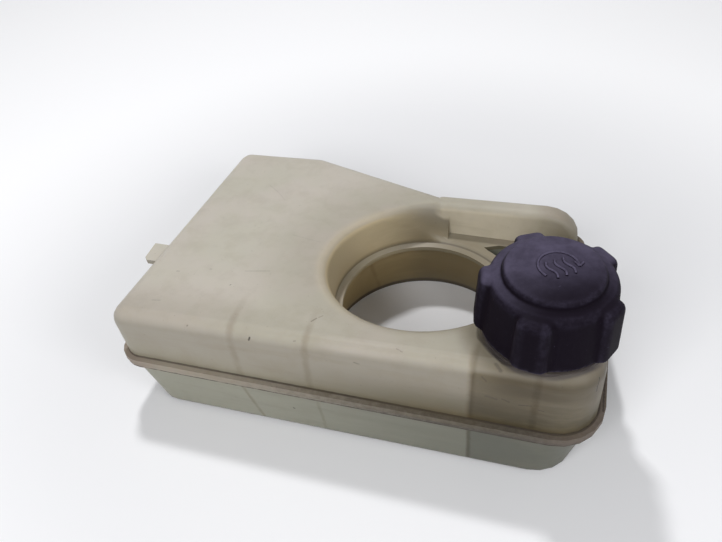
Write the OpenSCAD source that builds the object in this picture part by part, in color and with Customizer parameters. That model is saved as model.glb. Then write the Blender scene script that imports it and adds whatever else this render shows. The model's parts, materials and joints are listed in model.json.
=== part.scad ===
// Coolant expansion tank: two moulded halves welded at a flange, round a hole for a strut top,
// with a five-lobed pressure cap screwed on its filler neck.
// The origin lies on the axis of the strut hole, in the plane of the weld.
// X runs to the right along the front wall, Y to the back and Z up.

/* [Tank plan] */
// Distance from the strut hole's axis to the outside of the front wall
front_reach = 77.4; // [74:0.2:90]
// Distance from the strut hole's axis to the outside of the left wall
left_reach = 156; // [135:0.5:190]
// Distance from the strut hole's axis to the outside of the filler tower's right wall
right_reach = 101; // [98:0.5:115]
// Distance from the strut hole's axis to the outside of the back wall
back_reach = 112.5; // [100:0.5:140]
// Length of the straight back wall before it slants towards the fin
back_length = 60; // [35:0.5:80]
// Radius of the upright corners of the left chamber
corner_r = 10; // [6:0.5:14]
// Radius of the filler tower's front right corner
tower_corner_r = 22; // [12:0.5:28]

/* [Tank height] */
// Height of the lower half from its base to the weld
lower_height = 38.5; // [30:0.5:50]
// Height of the sloping top above the weld, over the strut hole's axis
upper_height = 32; // [29:0.5:42]
// Slope of the top, up towards the right, in degrees
top_slope_x = 1.9; // [0:0.1:2.5]
// Slope of the top, up towards the front, in degrees
top_slope_y = 5.9; // [3:0.1:7]

/* [Moulding] */
// Thickness of the moulded walls
wall = 2.8; // [2:0.1:3.4]
// Radius of the soft edge round the top
top_fillet = 9; // [6:0.5:11]
// Radius of the edge round the base
base_fillet = 5; // [4:0.5:8]
// How far the upper walls lean in from the weld to the top
upper_draft = 0.8; // [0:0.1:2]
// How far the left wall leans out from the weld to the top
left_lean = 3.5; // [0:0.5:5]
// How far the lower left and back walls lean in from the weld to the base
lower_lean = 8; // [3:0.5:12]
// How far the lower front wall leans in from the weld to the base
lower_front_lean = 2; // [1:0.5:6]

/* [Weld flange] */
// Overhang of the weld flange outside the walls
flange_over = 3.4; // [2:0.1:5]
// Thickness of each half of the weld flange
flange_t = 3; // [1.8:0.1:3.5]
// Width of the step between the two halves' flange edges
flange_step = 0.6; // [0.2:0.1:1]

/* [Strut hole] */
// Radius of the clear hole inside the weld ring
strut_r = 47.9; // [40:0.1:49]
// Width of the weld ring that stands into the hole
ring_w = 4.5; // [3:0.1:6]
// Thickness of each half of the weld ring
ring_t = 1.3; // [1:0.1:1.7]
// How far the hole widens from the ring to the top
hole_draft = 1.6; // [0.5:0.1:3]
// How far the hole widens from the ring to the base
hole_lower_draft = 6; // [2:0.1:7]
// Radius of the soft lip where the hole meets the top
lip_fillet = 6; // [5:0.5:9]
// Reach of the ramp behind the hole, where the lip runs down to the web
ramp_reach = 13; // [10:0.5:15]
// Direction in which the ramp begins, in degrees from the X axis
ramp_start = 132; // [120:1:150]

/* [Fin chamber] */
// Distance from the strut hole's axis to the front face of the thin fin chamber
fin_front = 61.7; // [60.5:0.1:66]
// Thickness of the fin chamber
fin_depth = 12.5; // [11:0.5:16]
// Distance from the strut hole's axis to the fin's right end
fin_reach = 82.8; // [70:0.5:90]
// Distance from the strut hole's axis to the fin's left end, at its top
fin_start = 6; // [4:0.5:10]
// Radius of the fin's upper right corner
fin_corner_r = 20; // [12:0.5:23]
// Radius of the fin's long edges
fin_fillet = 4.5; // [3.5:0.1:5]

/* [Web slot] */
// Distance of the slot's left tip from the strut hole's axis, to the right
slot_tip_x = 27.5; // [26:0.5:34]
// Length of the slot in the web between the hole and the fin
slot_length = 26; // [16:0.5:30]
// Gap between the slot and the fin's front face
slot_gap = 6; // [5:0.5:8]

/* [Baffles] */
// Thickness of the inner baffles
baffle_t = 2; // [1.4:0.1:3]
// Radius of the flow holes through the baffles
flow_hole_r = 7; // [4:0.5:8]

/* [Filler neck] */
// Place of the neck to the right of the strut hole's axis
neck_x = 69.6; // [69:0.1:71]
// Place of the neck in front of the strut hole's axis
neck_y = 42.2; // [41:0.1:44]
// Height of the neck's foot collar above the weld
collar_z = 42; // [41:0.2:44]
// Radius of the neck's foot collar
collar_r = 31; // [29:0.1:31.5]
// Length of the threaded neck above its collar
neck_length = 24; // [22:0.2:26]
// Radius of the neck's outside, over the thread
neck_r = 25; // [24:0.1:25.5]
// Radius of the neck's bore
neck_bore_r = 20; // [19.5:0.1:21]

/* [Hose stubs] */
// Outer radius of the outlet stub at the back
outlet_r = 9.5; // [7:0.1:11]
// Wall of the outlet stub
outlet_wall = 2; // [1.5:0.1:3]
// Length of the outlet stub outside the wall
outlet_length = 28; // [20:1:40]
// Outer radius of the small return stub on the filler tower
return_r = 4.5; // [3.5:0.1:5.5]
// Wall of the return stub
return_wall = 1.4; // [1:0.1:1.8]
// Length of the return stub outside the wall
return_length = 22; // [15:1:28]
// Height of a stub's hose bead above its tube
bead_h = 0.7; // [0.3:0.1:1]

/* [Lug] */
// Length of the small lug on the left wall
lug_length = 15; // [10:0.5:20]
// How far the lug stands out
lug_reach = 6; // [3:0.5:8]
// Thickness of the lug
lug_t = 3; // [2:0.1:4]
// Depth of the lug's foot below the top's edge
lug_drop = 6.5; // [5:0.5:12]

/* [Cap grip] */
// Gap between the neck's collar and the cap's lower edge
cap_gap = 2.4; // [1:0.1:3]
// Height of the cap up to its shoulder
cap_shoulder_h = 30.5; // [30:0.1:34]
// Height of the raised disc above the shoulder
disc_h = 4.6; // [3:0.1:6]
// Radius of the raised disc
disc_r = 23.4; // [20:0.1:25]
// Radius of the grip between its lobes, at the lower edge
grip_r = 32.2; // [32:0.1:33]
// Radius over the lobes
lobe_r = 35; // [34.6:0.1:37]
// Number of lobes
lobe_count = 5; // [4:1:6]
// Width of a lobe in degrees
lobe_width = 29; // [26:1:36]
// Radius of a lobe's upright edges
lobe_edge_r = 5; // [3:0.2:5.6]
// How far the lobes' feet lie above the grip's lower edge
lobe_foot = 0.5; // [0.3:0.1:3]
// How far the lobes' tops lie below the shoulder
lobe_drop = 1; // [0.8:0.1:2]
// Turn of the first lobe from the X axis in degrees
lobe_turn = 44; // [0:1:71]
// How far the grip leans in from its lower edge to the shoulder
grip_lean = 2.4; // [1:0.1:3]

/* [Cap inside] */
// Thickness of the threaded insert's wall
insert_wall = 3; // [2.4:0.1:3.2]
// Running clearance between pieces that turn or slide
running_gap = 0.3; // [0.2:0.05:0.4]
// Clearance of the plug's ring in the neck's bore
ring_gap = 0.05; // [0.02:0.01:0.1]
// Length of the plug inside the neck
plug_length = 19; // [17:0.5:20]
// Thickness of the plug's wall
plug_wall = 2.4; // [2:0.1:2.6]
// Thickness of the section of the plug's ring
plug_ring_d = 2.6; // [2.4:0.1:2.8]
// Thickness of the gasket on the neck's rim
gasket_t = 1.6; // [1:0.1:2]
// Thickness of the pressure spring's wire
pressure_wire = 1.6; // [1.2:0.1:1.8]
// Turns of the pressure spring
pressure_turns = 4; // [3:1:5]
// Thickness of the vacuum spring's wire
vacuum_wire = 0.6; // [0.4:0.05:0.7]
// Turns of the vacuum spring
vacuum_turns = 4; // [3:1:5]

/* [Hidden] */

round_fn = 96;
corner_steps = 5;
fillet_steps = 4;
spring_sides = 6;
turn_steps = 14;
hole_steps = 72;
lip_steps = 6;
cut = 1;

rise_x = tan(top_slope_x);
rise_y = -tan(top_slope_y);
base_z = -lower_height;
fin_back = fin_front + fin_depth;
hole_wall_r = strut_r + ring_w;
hole_base_r = hole_wall_r + hole_lower_draft;
web_gap = 2;
slot_point = 3.6;
slot_rim = 5.8;
tower_back = collar_r - neck_y + web_gap + wall;
chamber_right = 4;
ramp_end = atan2(fin_front, chamber_right);
fin_slant = 4;
ramp_sink = 0.4;
lip_proud = 0.05;
bead_land = 2;

// Corners of the outer walls at the weld, anticlockwise, each as x, y and corner radius
seam_outline = [
    [-left_reach, -front_reach, corner_r],
    [right_reach, -front_reach, tower_corner_r],
    [right_reach, tower_back, corner_r],
    [fin_reach, fin_back, corner_r],
    [chamber_right, fin_back - cut, corner_r],
    [back_length - left_reach, back_reach, corner_r],
    [-left_reach, back_reach, corner_r]
];
// Corners at the base, under those of the weld
base_outline = [
    [lower_lean - left_reach, lower_front_lean - front_reach, corner_r + base_fillet],
    [right_reach - lower_lean, lower_front_lean - front_reach, tower_corner_r],
    [right_reach - lower_lean, tower_back, corner_r],
    [fin_reach - lower_front_lean, fin_back - lower_front_lean, corner_r],
    [chamber_right, fin_back - lower_front_lean - cut, corner_r],
    [back_length - left_reach, back_reach - lower_lean, corner_r],
    [lower_lean - left_reach, back_reach - lower_lean, corner_r]
];
// Corners of the upper body above the weld: left chamber, arm in front of the hole and filler tower.
// Its left wall stands out by lean
function upper_outline(lean) = [
    [-left_reach - lean, -front_reach, corner_r],
    [right_reach, -front_reach, tower_corner_r],
    [right_reach, tower_back, corner_r],
    [chamber_right, tower_back, corner_r],
    [chamber_right, fin_back - cut, corner_r],
    [back_length - left_reach, back_reach, corner_r],
    [-left_reach - lean, back_reach, corner_r]
];
// Corners of the fin's front face, each as x, z and corner radius
fin_top_z = upper_height + rise_y * fin_back;
fin_face = [
    [-fin_start - fin_slant, 0, fin_fillet],
    [fin_reach, 0, fin_fillet],
    [fin_reach, fin_top_z + rise_x * fin_reach, fin_corner_r],
    [-fin_start, fin_top_z - rise_x * fin_start, fin_fillet]
];

// Baffles across the front: x of each one, and how far it reaches back from the front wall
baffles = [[-86, 70], [-46.5, 45], [39, 30], [70, 60]];

cap_z = collar_z + cap_gap;
neck_top = collar_z + neck_length;
shoulder_z = cap_z + cap_shoulder_h;
disc_top = shoulder_z + disc_h;
insert_r = neck_r + running_gap + insert_wall;
grip_bore_r = insert_r + running_gap / 2;
lobe_seat = 0.8;
cup_flange_t = 2.4;
cup_flange_z = neck_top + gasket_t;
cup_flange_top = cup_flange_z + cup_flange_t;
grip_bore_top = cup_flange_top + running_gap + insert_wall;
plug_gap = 1.4;
plug_r = neck_bore_r - plug_gap;
cup_flange_r = neck_r + 1;
plug_inner_r = plug_r - plug_wall;
plug_bottom = neck_top - plug_length;
plug_floor_t = 2;
seat_h = 0.8;
seat_z = plug_bottom + plug_floor_t + seat_h;
inlet_r = 8.4;
inlet_lip = 1.4;
groove_z = plug_bottom + plug_length / 2 + 1.5;
vent_r = 1.2;
vent_z = groove_z + plug_ring_d + vent_r;
seal_t = 1.6;
seal_r = 12.6;
plate_z = seat_z + seal_t;
plate_t = 2;
plate_r = plug_inner_r - 2 * running_gap;
guide_h = 2;
guide_t = 0.8;
stem_r = 2;
poppet_r = 6.2;
poppet_t = 1.4;
vacuum_seal_t = 1;
vacuum_seal_inset = 0.4;
poppet_top = plate_z - vacuum_seal_t;
clip_r = 4.6;
clip_t = 1.2;
vacuum_free = 5.5;
clip_z = plate_z + plate_t + vacuum_free;
stem_end = 0.8;
stem_top = clip_z + clip_t + stem_end;
retainer_drop = 1;
retainer_t = 2;
retainer_z = cup_flange_top - retainer_t - retainer_drop;
retainer_hole_r = 5.5;
spring_r = plate_r - 1.5 * pressure_wire;
bead_w = 3;
outlet_z = -18;
outlet_x = -120;
return_z = 22;
return_x = right_reach - 12;
lug_y = -16;
lug_bevel = 2;

function top_z(x, y) = upper_height + rise_x * x + rise_y * y;
function outward(a, b) = let(d = b - a, l = norm(d)) [d.y / l, -d.x / l];
function flat(p) = [p.x, p.y];
function before(i, n) = (i + n - 1) % n;
function after(i, n) = (i + 1) % n;

// The outline with every side moved out by a distance, and its corners kept in step
function grow(pts, d) = let(n = len(pts)) [for (i = [0 : n - 1])
    let(p = flat(pts[i]), n1 = outward(flat(pts[before(i, n)]), p), n2 = outward(p, flat(pts[after(i, n)])),
        side = n1.x * n2.y - n1.y * n2.x >= 0 ? 1 : -1, s = d / (1 + n1 * n2))
    [p.x + s * (n1.x + n2.x), p.y + s * (n1.y + n2.y), max(pts[i].z + side * d, 0.5)]];

// Points along the outline with its corners rounded
function rounded(pts) = let(n = len(pts)) [for (i = [0 : n - 1])
    let(p = flat(pts[i]), n1 = outward(flat(pts[before(i, n)]), p), n2 = outward(p, flat(pts[after(i, n)])),
        turn = atan2(n1.x * n2.y - n1.y * n2.x, n1 * n2), side = turn >= 0 ? 1 : -1, r = pts[i].z,
        c = p - side * r / (1 + n1 * n2) * (n1 + n2), start = atan2(n1.y, n1.x))
    for (k = [0 : corner_steps])
        let(a = start + turn * k / corner_steps) c + side * r * [cos(a), sin(a)]];

// A level ring of the outline, and one that follows the slope of the top
function level_ring(pts, z) = [for (q = rounded(pts)) [q.x, q.y, z]];
function top_ring(pts, drop) = [for (q = rounded(pts)) [q.x, q.y, top_z(q.x, q.y) - drop]];
function face_ring(pts, y) = [for (q = rounded(pts)) [q.x, y, q.y]];
function middle(ring) = [for (k = [0 : 2]) [for (q = ring) q[k]] * [for (q = ring) 1] / len(ring)];

// Rings of the upper body with a soft top edge, shrunk by skin on every side
function upper_rings(skin, z0) = let(r = top_fillet - skin) concat(
    [level_ring(grow(upper_outline(0), -skin), z0)],
    [for (k = [0 : fillet_steps])
        let(a = 90 * k / fillet_steps, inset = skin + upper_draft + r * (1 - cos(a)))
        top_ring(grow(upper_outline(left_lean), -inset), skin + r * (1 - sin(a)))]);

// Rings of the lower half with a soft base edge, shrunk by skin on every side
function lower_rings(skin, z_top) = let(r = base_fillet - skin / 2) concat(
    [for (k = [0 : fillet_steps]) let(a = 90 * (1 - k / fillet_steps))
        level_ring(grow(base_outline, -skin - r * (1 - cos(a))), base_z + skin + r * (1 - sin(a)))],
    [level_ring(grow(seam_outline, -skin), z_top)]);

// Rings of the fin, from its back to its front
function fin_rings(skin) = let(r = fin_fillet - skin, y0 = fin_front + skin, y1 = fin_back - skin) concat(
    [for (k = [0 : fillet_steps]) let(a = 90 * k / fillet_steps)
        face_ring(grow(fin_face, -skin - r * (1 - sin(a))), y1 - r * (1 - cos(a)))],
    [for (k = [0 : fillet_steps]) let(a = 90 * (1 - k / fillet_steps))
        face_ring(grow(fin_face, -skin - r * (1 - sin(a))), y0 + r * (1 - cos(a)))]);

function hole_angles() = [for (i = [0 : hole_steps - 1]) 360 * i / hole_steps];
function circle_ring(r, z) = [for (a = hole_angles()) [r * cos(a), r * sin(a), z]];

// Share of the ramp in the hole's lip, from 0 where it begins to 1 at the fin
function ramp_share(a) = a < ramp_end / 2 || a > ramp_start ? 0
    : let(t = min(1, (ramp_start - a) / (ramp_start - ramp_end))) t * t * (3 - 2 * t);

// A point of the hole's lip, f of the way out: a quarter round that turns into a long S over the ramp
function lip_point(a, f, skin) = let(
    s = ramp_share(a),
    foot = hole_wall_r + skin + hole_draft,
    full = top_z(foot * cos(a), foot * sin(a)) - flange_t + ramp_sink,
    reach = lip_fillet + s * (ramp_reach - lip_fillet),
    fall = lip_fillet + s * (full - lip_fillet),
    r = foot + (1 - s) * (reach - skin) * (1 - cos(90 * f)) + s * reach * f,
    drop = skin - lip_proud + (1 - s) * (fall - skin) * (1 - sin(90 * f)) + s * fall * (1 + cos(180 * f)) / 2)
    [r * cos(a), r * sin(a), top_z(r * cos(a), r * sin(a)) - drop];
function lip_ring(f, skin) = [for (a = hole_angles()) lip_point(a, f, skin)];
function raised(ring, rise) = [for (p = ring) [p.x, p.y, p.z + rise]];

// Rings of the flared hole, moved into the wall by skin
function hole_rings(skin, z0) = concat(
    [circle_ring(hole_wall_r + skin, z0)],
    [for (k = [0 : lip_steps]) lip_ring(k / lip_steps, skin)],
    [raised(lip_ring(1, skin), skin + collar_z - upper_height + cut)]);

// A point on the skin of a round wire
function spring_frame(r, a, h, k, w) = let(b = 360 * k / spring_sides)
    [(r + w * cos(b)) * cos(a), (r + w * cos(b)) * sin(a), h + w * sin(b)];

// A closed skin over a stack of rings, each with as many points, anticlockwise seen from the last.
// Each end is closed from a point that sees its whole ring: its middle, or the one that hubs gives
module loft(rings, hubs = []) {
    n = len(rings[0]);
    m = len(rings);
    ends = len(hubs) == 2 ? hubs : [middle(rings[0]), middle(rings[m - 1])];
    points = concat([for (r = rings) each r], ends);
    sides = [for (k = [0 : m - 2]) for (i = [0 : n - 1]) let(j = after(i, n))
        each [[k * n + i, (k + 1) * n + i, (k + 1) * n + j], [k * n + i, (k + 1) * n + j, k * n + j]]];
    first = [for (i = [0 : n - 1]) [m * n, i, after(i, n)]];
    last = [for (i = [0 : n - 1]) [m * n + 1, (m - 1) * n + after(i, n), (m - 1) * n + i]];
    polyhedron(points, concat(sides, first, last));
}

module at_neck() translate([neck_x, -neck_y, 0]) children();

module rod(r, h) cylinder(r = r, h = h, $fn = round_fn);

module tube(r, inner, h) {
    difference() {
        rod(r, h);
        translate([0, 0, -cut]) rod(inner, h + 2 * cut);
    }
}

// A hose stub along Z with a bead near its end, open right through
module stub(r, skin, length, root) {
    difference() {
        rotate_extrude($fn = round_fn)
            polygon([[0, -root], [r, -root], [r, length - 3 * bead_w],
                     [r + bead_h, length - 2 * bead_w], [r + bead_h, length - 2 * bead_w + bead_land],
                     [r, length - bead_w + bead_land / 2], [r, length], [0, length]]);
        translate([0, 0, -root - cut]) rod(r - skin, length + root + 2 * cut);
    }
}

module place_outlet()
    translate([outlet_x, back_reach - lower_lean / 2, outlet_z]) rotate([-90, 0, 0]) children();

module place_return()
    translate([return_x, tower_back - upper_draft, return_z]) rotate([-90, 0, 0]) children();

// The slot through the web behind the hole: a pointed wedge between the hole's wall and the fin
module web_slot() {
    back_y = fin_front - slot_gap;
    tip_y = back_y - slot_point;
    difference() {
        polygon([[slot_tip_x, tip_y], [slot_tip_x + slot_length, back_y - slot_length],
                 [slot_tip_x + slot_length, back_y], [slot_tip_x + 2.5 * slot_point, back_y]]);
        circle(r = hole_wall_r + slot_rim, $fn = round_fn);
    }
}

// The baffles of one half, standing in its cavity from one height to another
module baffle_plates(z0, z1) {
    for (b = baffles)
        difference() {
            translate([b[0] - baffle_t / 2, -front_reach, z0]) cube([baffle_t, b[1], z1 - z0]);
            translate([b[0] - baffle_t, -front_reach + b[1] / 2, (z0 + z1) / 2])
                rotate([0, 90, 0]) cylinder(r = flow_hole_r, h = 2 * baffle_t, $fn = 48);
        }
}

// The upper body as a solid, shrunk by skin on every side
module upper_body(skin, z0) {
    hub = [-hole_wall_r, tower_back - top_fillet - collar_r];
    loft(upper_rings(skin, z0), [[hub.x, hub.y, z0], [hub.x, hub.y, top_z(hub.x, hub.y) - skin]]);
}

// The upper body and its flange round the hole, with the hole's flared wall and lip cut out of them
module upper_skin() {
    difference() {
        union() {
            upper_body(0, 0);
            linear_extrude(flange_t) polygon(rounded(grow(seam_outline, flange_over)));
            at_neck() translate([0, 0, collar_z - 3 * wall]) rod(collar_r, 3 * wall);
        }
        loft(hole_rings(0, ring_t));
    }
    loft(fin_rings(0));
}

module upper_hollow() {
    difference() {
        union() {
            difference() {
                upper_body(wall, -cut);
                loft(hole_rings(wall, -2 * cut));
            }
            translate([0, 0, -cut]) loft(fin_rings(wall));
        }
        baffle_plates(-2 * cut, top_z(right_reach, -front_reach));
    }
}

module upper_shell() color([0.75, 0.70, 0.62]) {
    difference() {
        union() {
            upper_skin();
            at_neck() translate([0, 0, collar_z - wall]) rod(neck_r, neck_length + wall);
            lug();
            place_return() stub(return_r, return_wall, return_length, wall);
        }
        upper_hollow();
        translate([0, 0, -cut]) cylinder(r = strut_r, h = flange_t + 2 * cut, $fn = 2 * round_fn);
        at_neck() rod(neck_bore_r, neck_top + cut);
        place_return() translate([0, 0, -2 * wall])
            rod(return_r - return_wall, return_length + 3 * wall);
        translate([0, 0, -cut]) linear_extrude(flange_t + 2 * cut) web_slot();
    }
}

// The small lug on the left wall under the top edge
module lug() {
    root = 2 * wall;
    translate([-left_reach - left_lean, lug_y, top_z(-left_reach, lug_y) - lug_drop])
        linear_extrude(lug_t)
            polygon([[root, -lug_length / 2], [lug_bevel - lug_reach, -lug_length / 2],
                     [-lug_reach, lug_bevel - lug_length / 2], [-lug_reach, lug_length / 2],
                     [root, lug_length / 2]]);
}

module lower_shell() color([0.62, 0.60, 0.50]) {
    difference() {
        union() {
            loft(lower_rings(0, 0));
            translate([0, 0, -flange_t])
                linear_extrude(flange_t) polygon(rounded(grow(seam_outline, flange_over - flange_step)));
            place_outlet() stub(outlet_r, outlet_wall, outlet_length, wall);
        }
        difference() {
            loft(lower_rings(wall, cut));
            translate([0, 0, base_z - cut])
                cylinder(r1 = hole_base_r + wall, r2 = hole_wall_r + wall, h = lower_height + 2 * cut,
                         $fn = round_fn);
            baffle_plates(base_z, 2 * cut);
            translate([0, 0, base_z - cut])
                linear_extrude(lower_height + 3 * cut) offset(delta = wall) web_slot();
        }
        translate([0, 0, base_z - cut])
            cylinder(r1 = hole_base_r, r2 = hole_wall_r, h = lower_height - ring_t + cut, $fn = round_fn);
        translate([0, 0, base_z]) cylinder(r = strut_r, h = lower_height + cut, $fn = 2 * round_fn);
        place_outlet() translate([0, 0, -lower_lean])
            rod(outlet_r - outlet_wall, outlet_length + 2 * lower_lean);
        translate([0, 0, base_z - cut]) linear_extrude(lower_height + 2 * cut) web_slot();
    }
}

// Plan of one lobe on the X axis, each corner as x, y and corner radius
lobe_half = lobe_r * sin(lobe_width / 2);
lobe_root = 12;
lobe_plan = [
    [grip_r - lobe_root, -lobe_half - 1, 1],
    [lobe_r, -lobe_half, lobe_edge_r],
    [lobe_r, lobe_half, lobe_edge_r],
    [grip_r - lobe_root, lobe_half + 1, 1]
];

// One lobe of the grip, leaning in from the lower edge to its rounded top
module lobe() {
    soft = lobe_edge_r * 0.8;
    lean = grip_lean / 2;
    lobe_top = shoulder_z - lobe_drop;
    loft(concat(
        [level_ring(lobe_plan, cap_z + lobe_foot)],
        [for (k = [0 : fillet_steps]) let(a = 90 * k / fillet_steps)
            level_ring(grow(lobe_plan, -lean - soft * (1 - cos(a))), lobe_top - soft * (1 - sin(a)))]));
}

module cap_grip() color([0.16, 0.15, 0.18]) {
    at_neck() difference() {
        rotate_extrude($fn = round_fn) grip_section();
        translate([0, 0, cap_z - cut]) rod(grip_bore_r, cut + grip_bore_top - cap_z);
    }
    at_neck() difference() {
        for (i = [0 : lobe_count - 1]) rotate([0, 0, lobe_turn + i * 360 / lobe_count]) lobe();
        translate([0, 0, cap_z - cut])
            rod(grip_bore_r + lobe_seat, cut + grip_bore_top + lobe_seat / 4 - cap_z);
    }
}

// Half section of the grip between its lobes: skirt, shoulder, groove and crowned disc
module grip_section() {
    crown = 1.6;
    groove = 0.9;
    shoulder_fillet = 4;
    shoulder_rise = 0.4;
    disc_fillet = 2.2;
    sr = grip_r - grip_lean;
    polygon(concat(
        [[0, cap_z], [grip_r, cap_z]],
        [for (k = [0 : fillet_steps]) let(a = 90 * k / fillet_steps)
            [sr - shoulder_fillet * (1 - cos(a)), shoulder_z - shoulder_fillet * (1 - sin(a))]],
        [[disc_r + groove, shoulder_z + shoulder_rise], [disc_r + groove, shoulder_z - groove],
         [disc_r, shoulder_z - groove], [disc_r, disc_top - disc_fillet]],
        [for (k = [1 : fillet_steps]) let(a = 90 * k / fillet_steps)
            [disc_r - disc_fillet * (1 - cos(a)), disc_top - disc_fillet * (1 - sin(a))]],
        [[disc_r * 0.6, disc_top + crown * 0.7], [0, disc_top + crown]]));
}

// The insert turns on the neck, and the groove above its thread holds the valve cup's flange
module thread_insert() color([0.20, 0.20, 0.20]) {
    foot_z = cap_z + cut;
    groove_foot = cup_flange_z - running_gap;
    at_neck() difference() {
        translate([0, 0, foot_z]) rod(insert_r, grip_bore_top - foot_z);
        translate([0, 0, foot_z - cut]) rod(neck_r + running_gap, groove_foot - cap_z);
        translate([0, 0, groove_foot])
            rod(cup_flange_r + running_gap, cup_flange_t + 2 * running_gap);
        translate([0, 0, groove_foot]) rod(retainer_hole_r, grip_bore_top);
    }
}

module valve_cup() color([0.24, 0.24, 0.26]) {
    at_neck() difference() {
        union() {
            translate([0, 0, cup_flange_z]) rod(cup_flange_r, cup_flange_t);
            translate([0, 0, plug_bottom]) rod(plug_r, cup_flange_z - plug_bottom + cut);
        }
        translate([0, 0, seat_z - seat_h]) rod(plug_inner_r, plug_length * 2);
        translate([0, 0, plug_bottom - cut]) rod(inlet_r, plug_length);
        translate([0, 0, groove_z - plug_ring_d / 2 - ring_gap]) ring_groove();
        for (a = [0 : 90 : 270]) rotate([0, 0, a]) translate([0, 0, vent_z])
            rotate([0, 90, 0]) cylinder(r = vent_r, h = neck_bore_r, $fn = 24);
    }
    at_neck() translate([0, 0, plug_bottom + plug_floor_t]) tube(inlet_r + inlet_lip, inlet_r, seat_h);
}

// The groove for the plug's ring
module ring_groove() tube(neck_bore_r, neck_bore_r - 2 * ring_gap - plug_ring_d, plug_ring_d + 2 * ring_gap);

module rim_gasket() color([0.08, 0.08, 0.08])
    at_neck() translate([0, 0, neck_top]) tube(neck_r - running_gap, plug_r + running_gap / 2, gasket_t);

module plug_ring() color([0.08, 0.08, 0.08])
    at_neck() translate([0, 0, groove_z]) rotate_extrude($fn = round_fn)
        translate([neck_bore_r - ring_gap - plug_ring_d / 2, 0]) circle(d = plug_ring_d, $fn = 32);

module spring_retainer() color([0.30, 0.30, 0.32])
    at_neck() translate([0, 0, retainer_z]) tube(plug_inner_r - ring_gap, retainer_hole_r, retainer_t);

module pressure_plate() color([0.72, 0.72, 0.70]) at_neck() {
    translate([0, 0, plate_z]) tube(plate_r, stem_r + running_gap, plate_t);
    translate([0, 0, plate_z + plate_t]) tube(clip_r + 2 * guide_t, clip_r + guide_t, guide_h);
}

module pressure_seal() color([0.08, 0.08, 0.08])
    at_neck() translate([0, 0, seat_z]) tube(seal_r, poppet_r + running_gap, seal_t);

module wire_spring(r, wire, z0, z1, turns) {
    steps = turns * turn_steps;
    rise = (z1 - z0 - wire) / turns;
    points = [for (i = [0 : steps]) let(a = 360 * i / turn_steps, h = z0 + wire / 2 + rise * i / turn_steps)
        for (k = [0 : spring_sides - 1]) spring_frame(r, a, h, k, wire / 2)];
    n = spring_sides;
    sides = [for (i = [0 : steps - 1]) for (k = [0 : n - 1]) let(j = after(k, n))
        each [[i * n + k, i * n + j, (i + 1) * n + j], [i * n + k, (i + 1) * n + j, (i + 1) * n + k]]];
    first = [for (k = [1 : n - 2]) [0, k + 1, k]];
    last = [for (k = [1 : n - 2]) [steps * n, steps * n + k, steps * n + k + 1]];
    polyhedron(points, concat(sides, first, last));
}

module pressure_spring() color([0.70, 0.70, 0.72])
    at_neck() wire_spring(spring_r, pressure_wire, plate_z + plate_t, retainer_z, pressure_turns);

module vacuum_poppet() color([0.78, 0.74, 0.62]) at_neck() {
    translate([0, 0, poppet_top - poppet_t]) rod(poppet_r, poppet_t);
    translate([0, 0, poppet_top - poppet_t / 2]) rod(stem_r, stem_top - poppet_top + poppet_t / 2);
}

module vacuum_seal() color([0.08, 0.08, 0.08])
    at_neck() translate([0, 0, poppet_top])
        tube(poppet_r - vacuum_seal_inset, stem_r + ring_gap, vacuum_seal_t);

module vacuum_spring() color([0.70, 0.70, 0.72])
    at_neck() wire_spring(stem_r + 2 * vacuum_wire, vacuum_wire, plate_z + plate_t, clip_z, vacuum_turns);

module vacuum_clip() color([0.62, 0.60, 0.52])
    at_neck() translate([0, 0, clip_z]) tube(clip_r, stem_r + ring_gap, clip_t);

upper_shell();
lower_shell();
cap_grip();
thread_insert();
valve_cup();
rim_gasket();
plug_ring();
spring_retainer();
pressure_plate();
pressure_seal();
pressure_spring();
vacuum_poppet();
vacuum_seal();
vacuum_spring();
vacuum_clip();
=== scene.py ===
"""Dresses a moulded coolant expansion tank and its screw cap.

The tank's two welded halves, its weld bead, its cap and the cap's springs are built on the solids of the
part's frame. Lengths in the dataclasses are millimetres in the part's own frame: the origin lies on the axis
of the strut hole, in the plane of the weld, with X along the front wall, Y to the back and Z up.
"""

from __future__ import annotations

import json
import logging
import math
import random
from dataclasses import dataclass, replace
from enum import Enum
from functools import reduce

import bmesh
import bpy
from mathutils import Matrix, Vector
from mathutils.bvhtree import BVHTree

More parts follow.
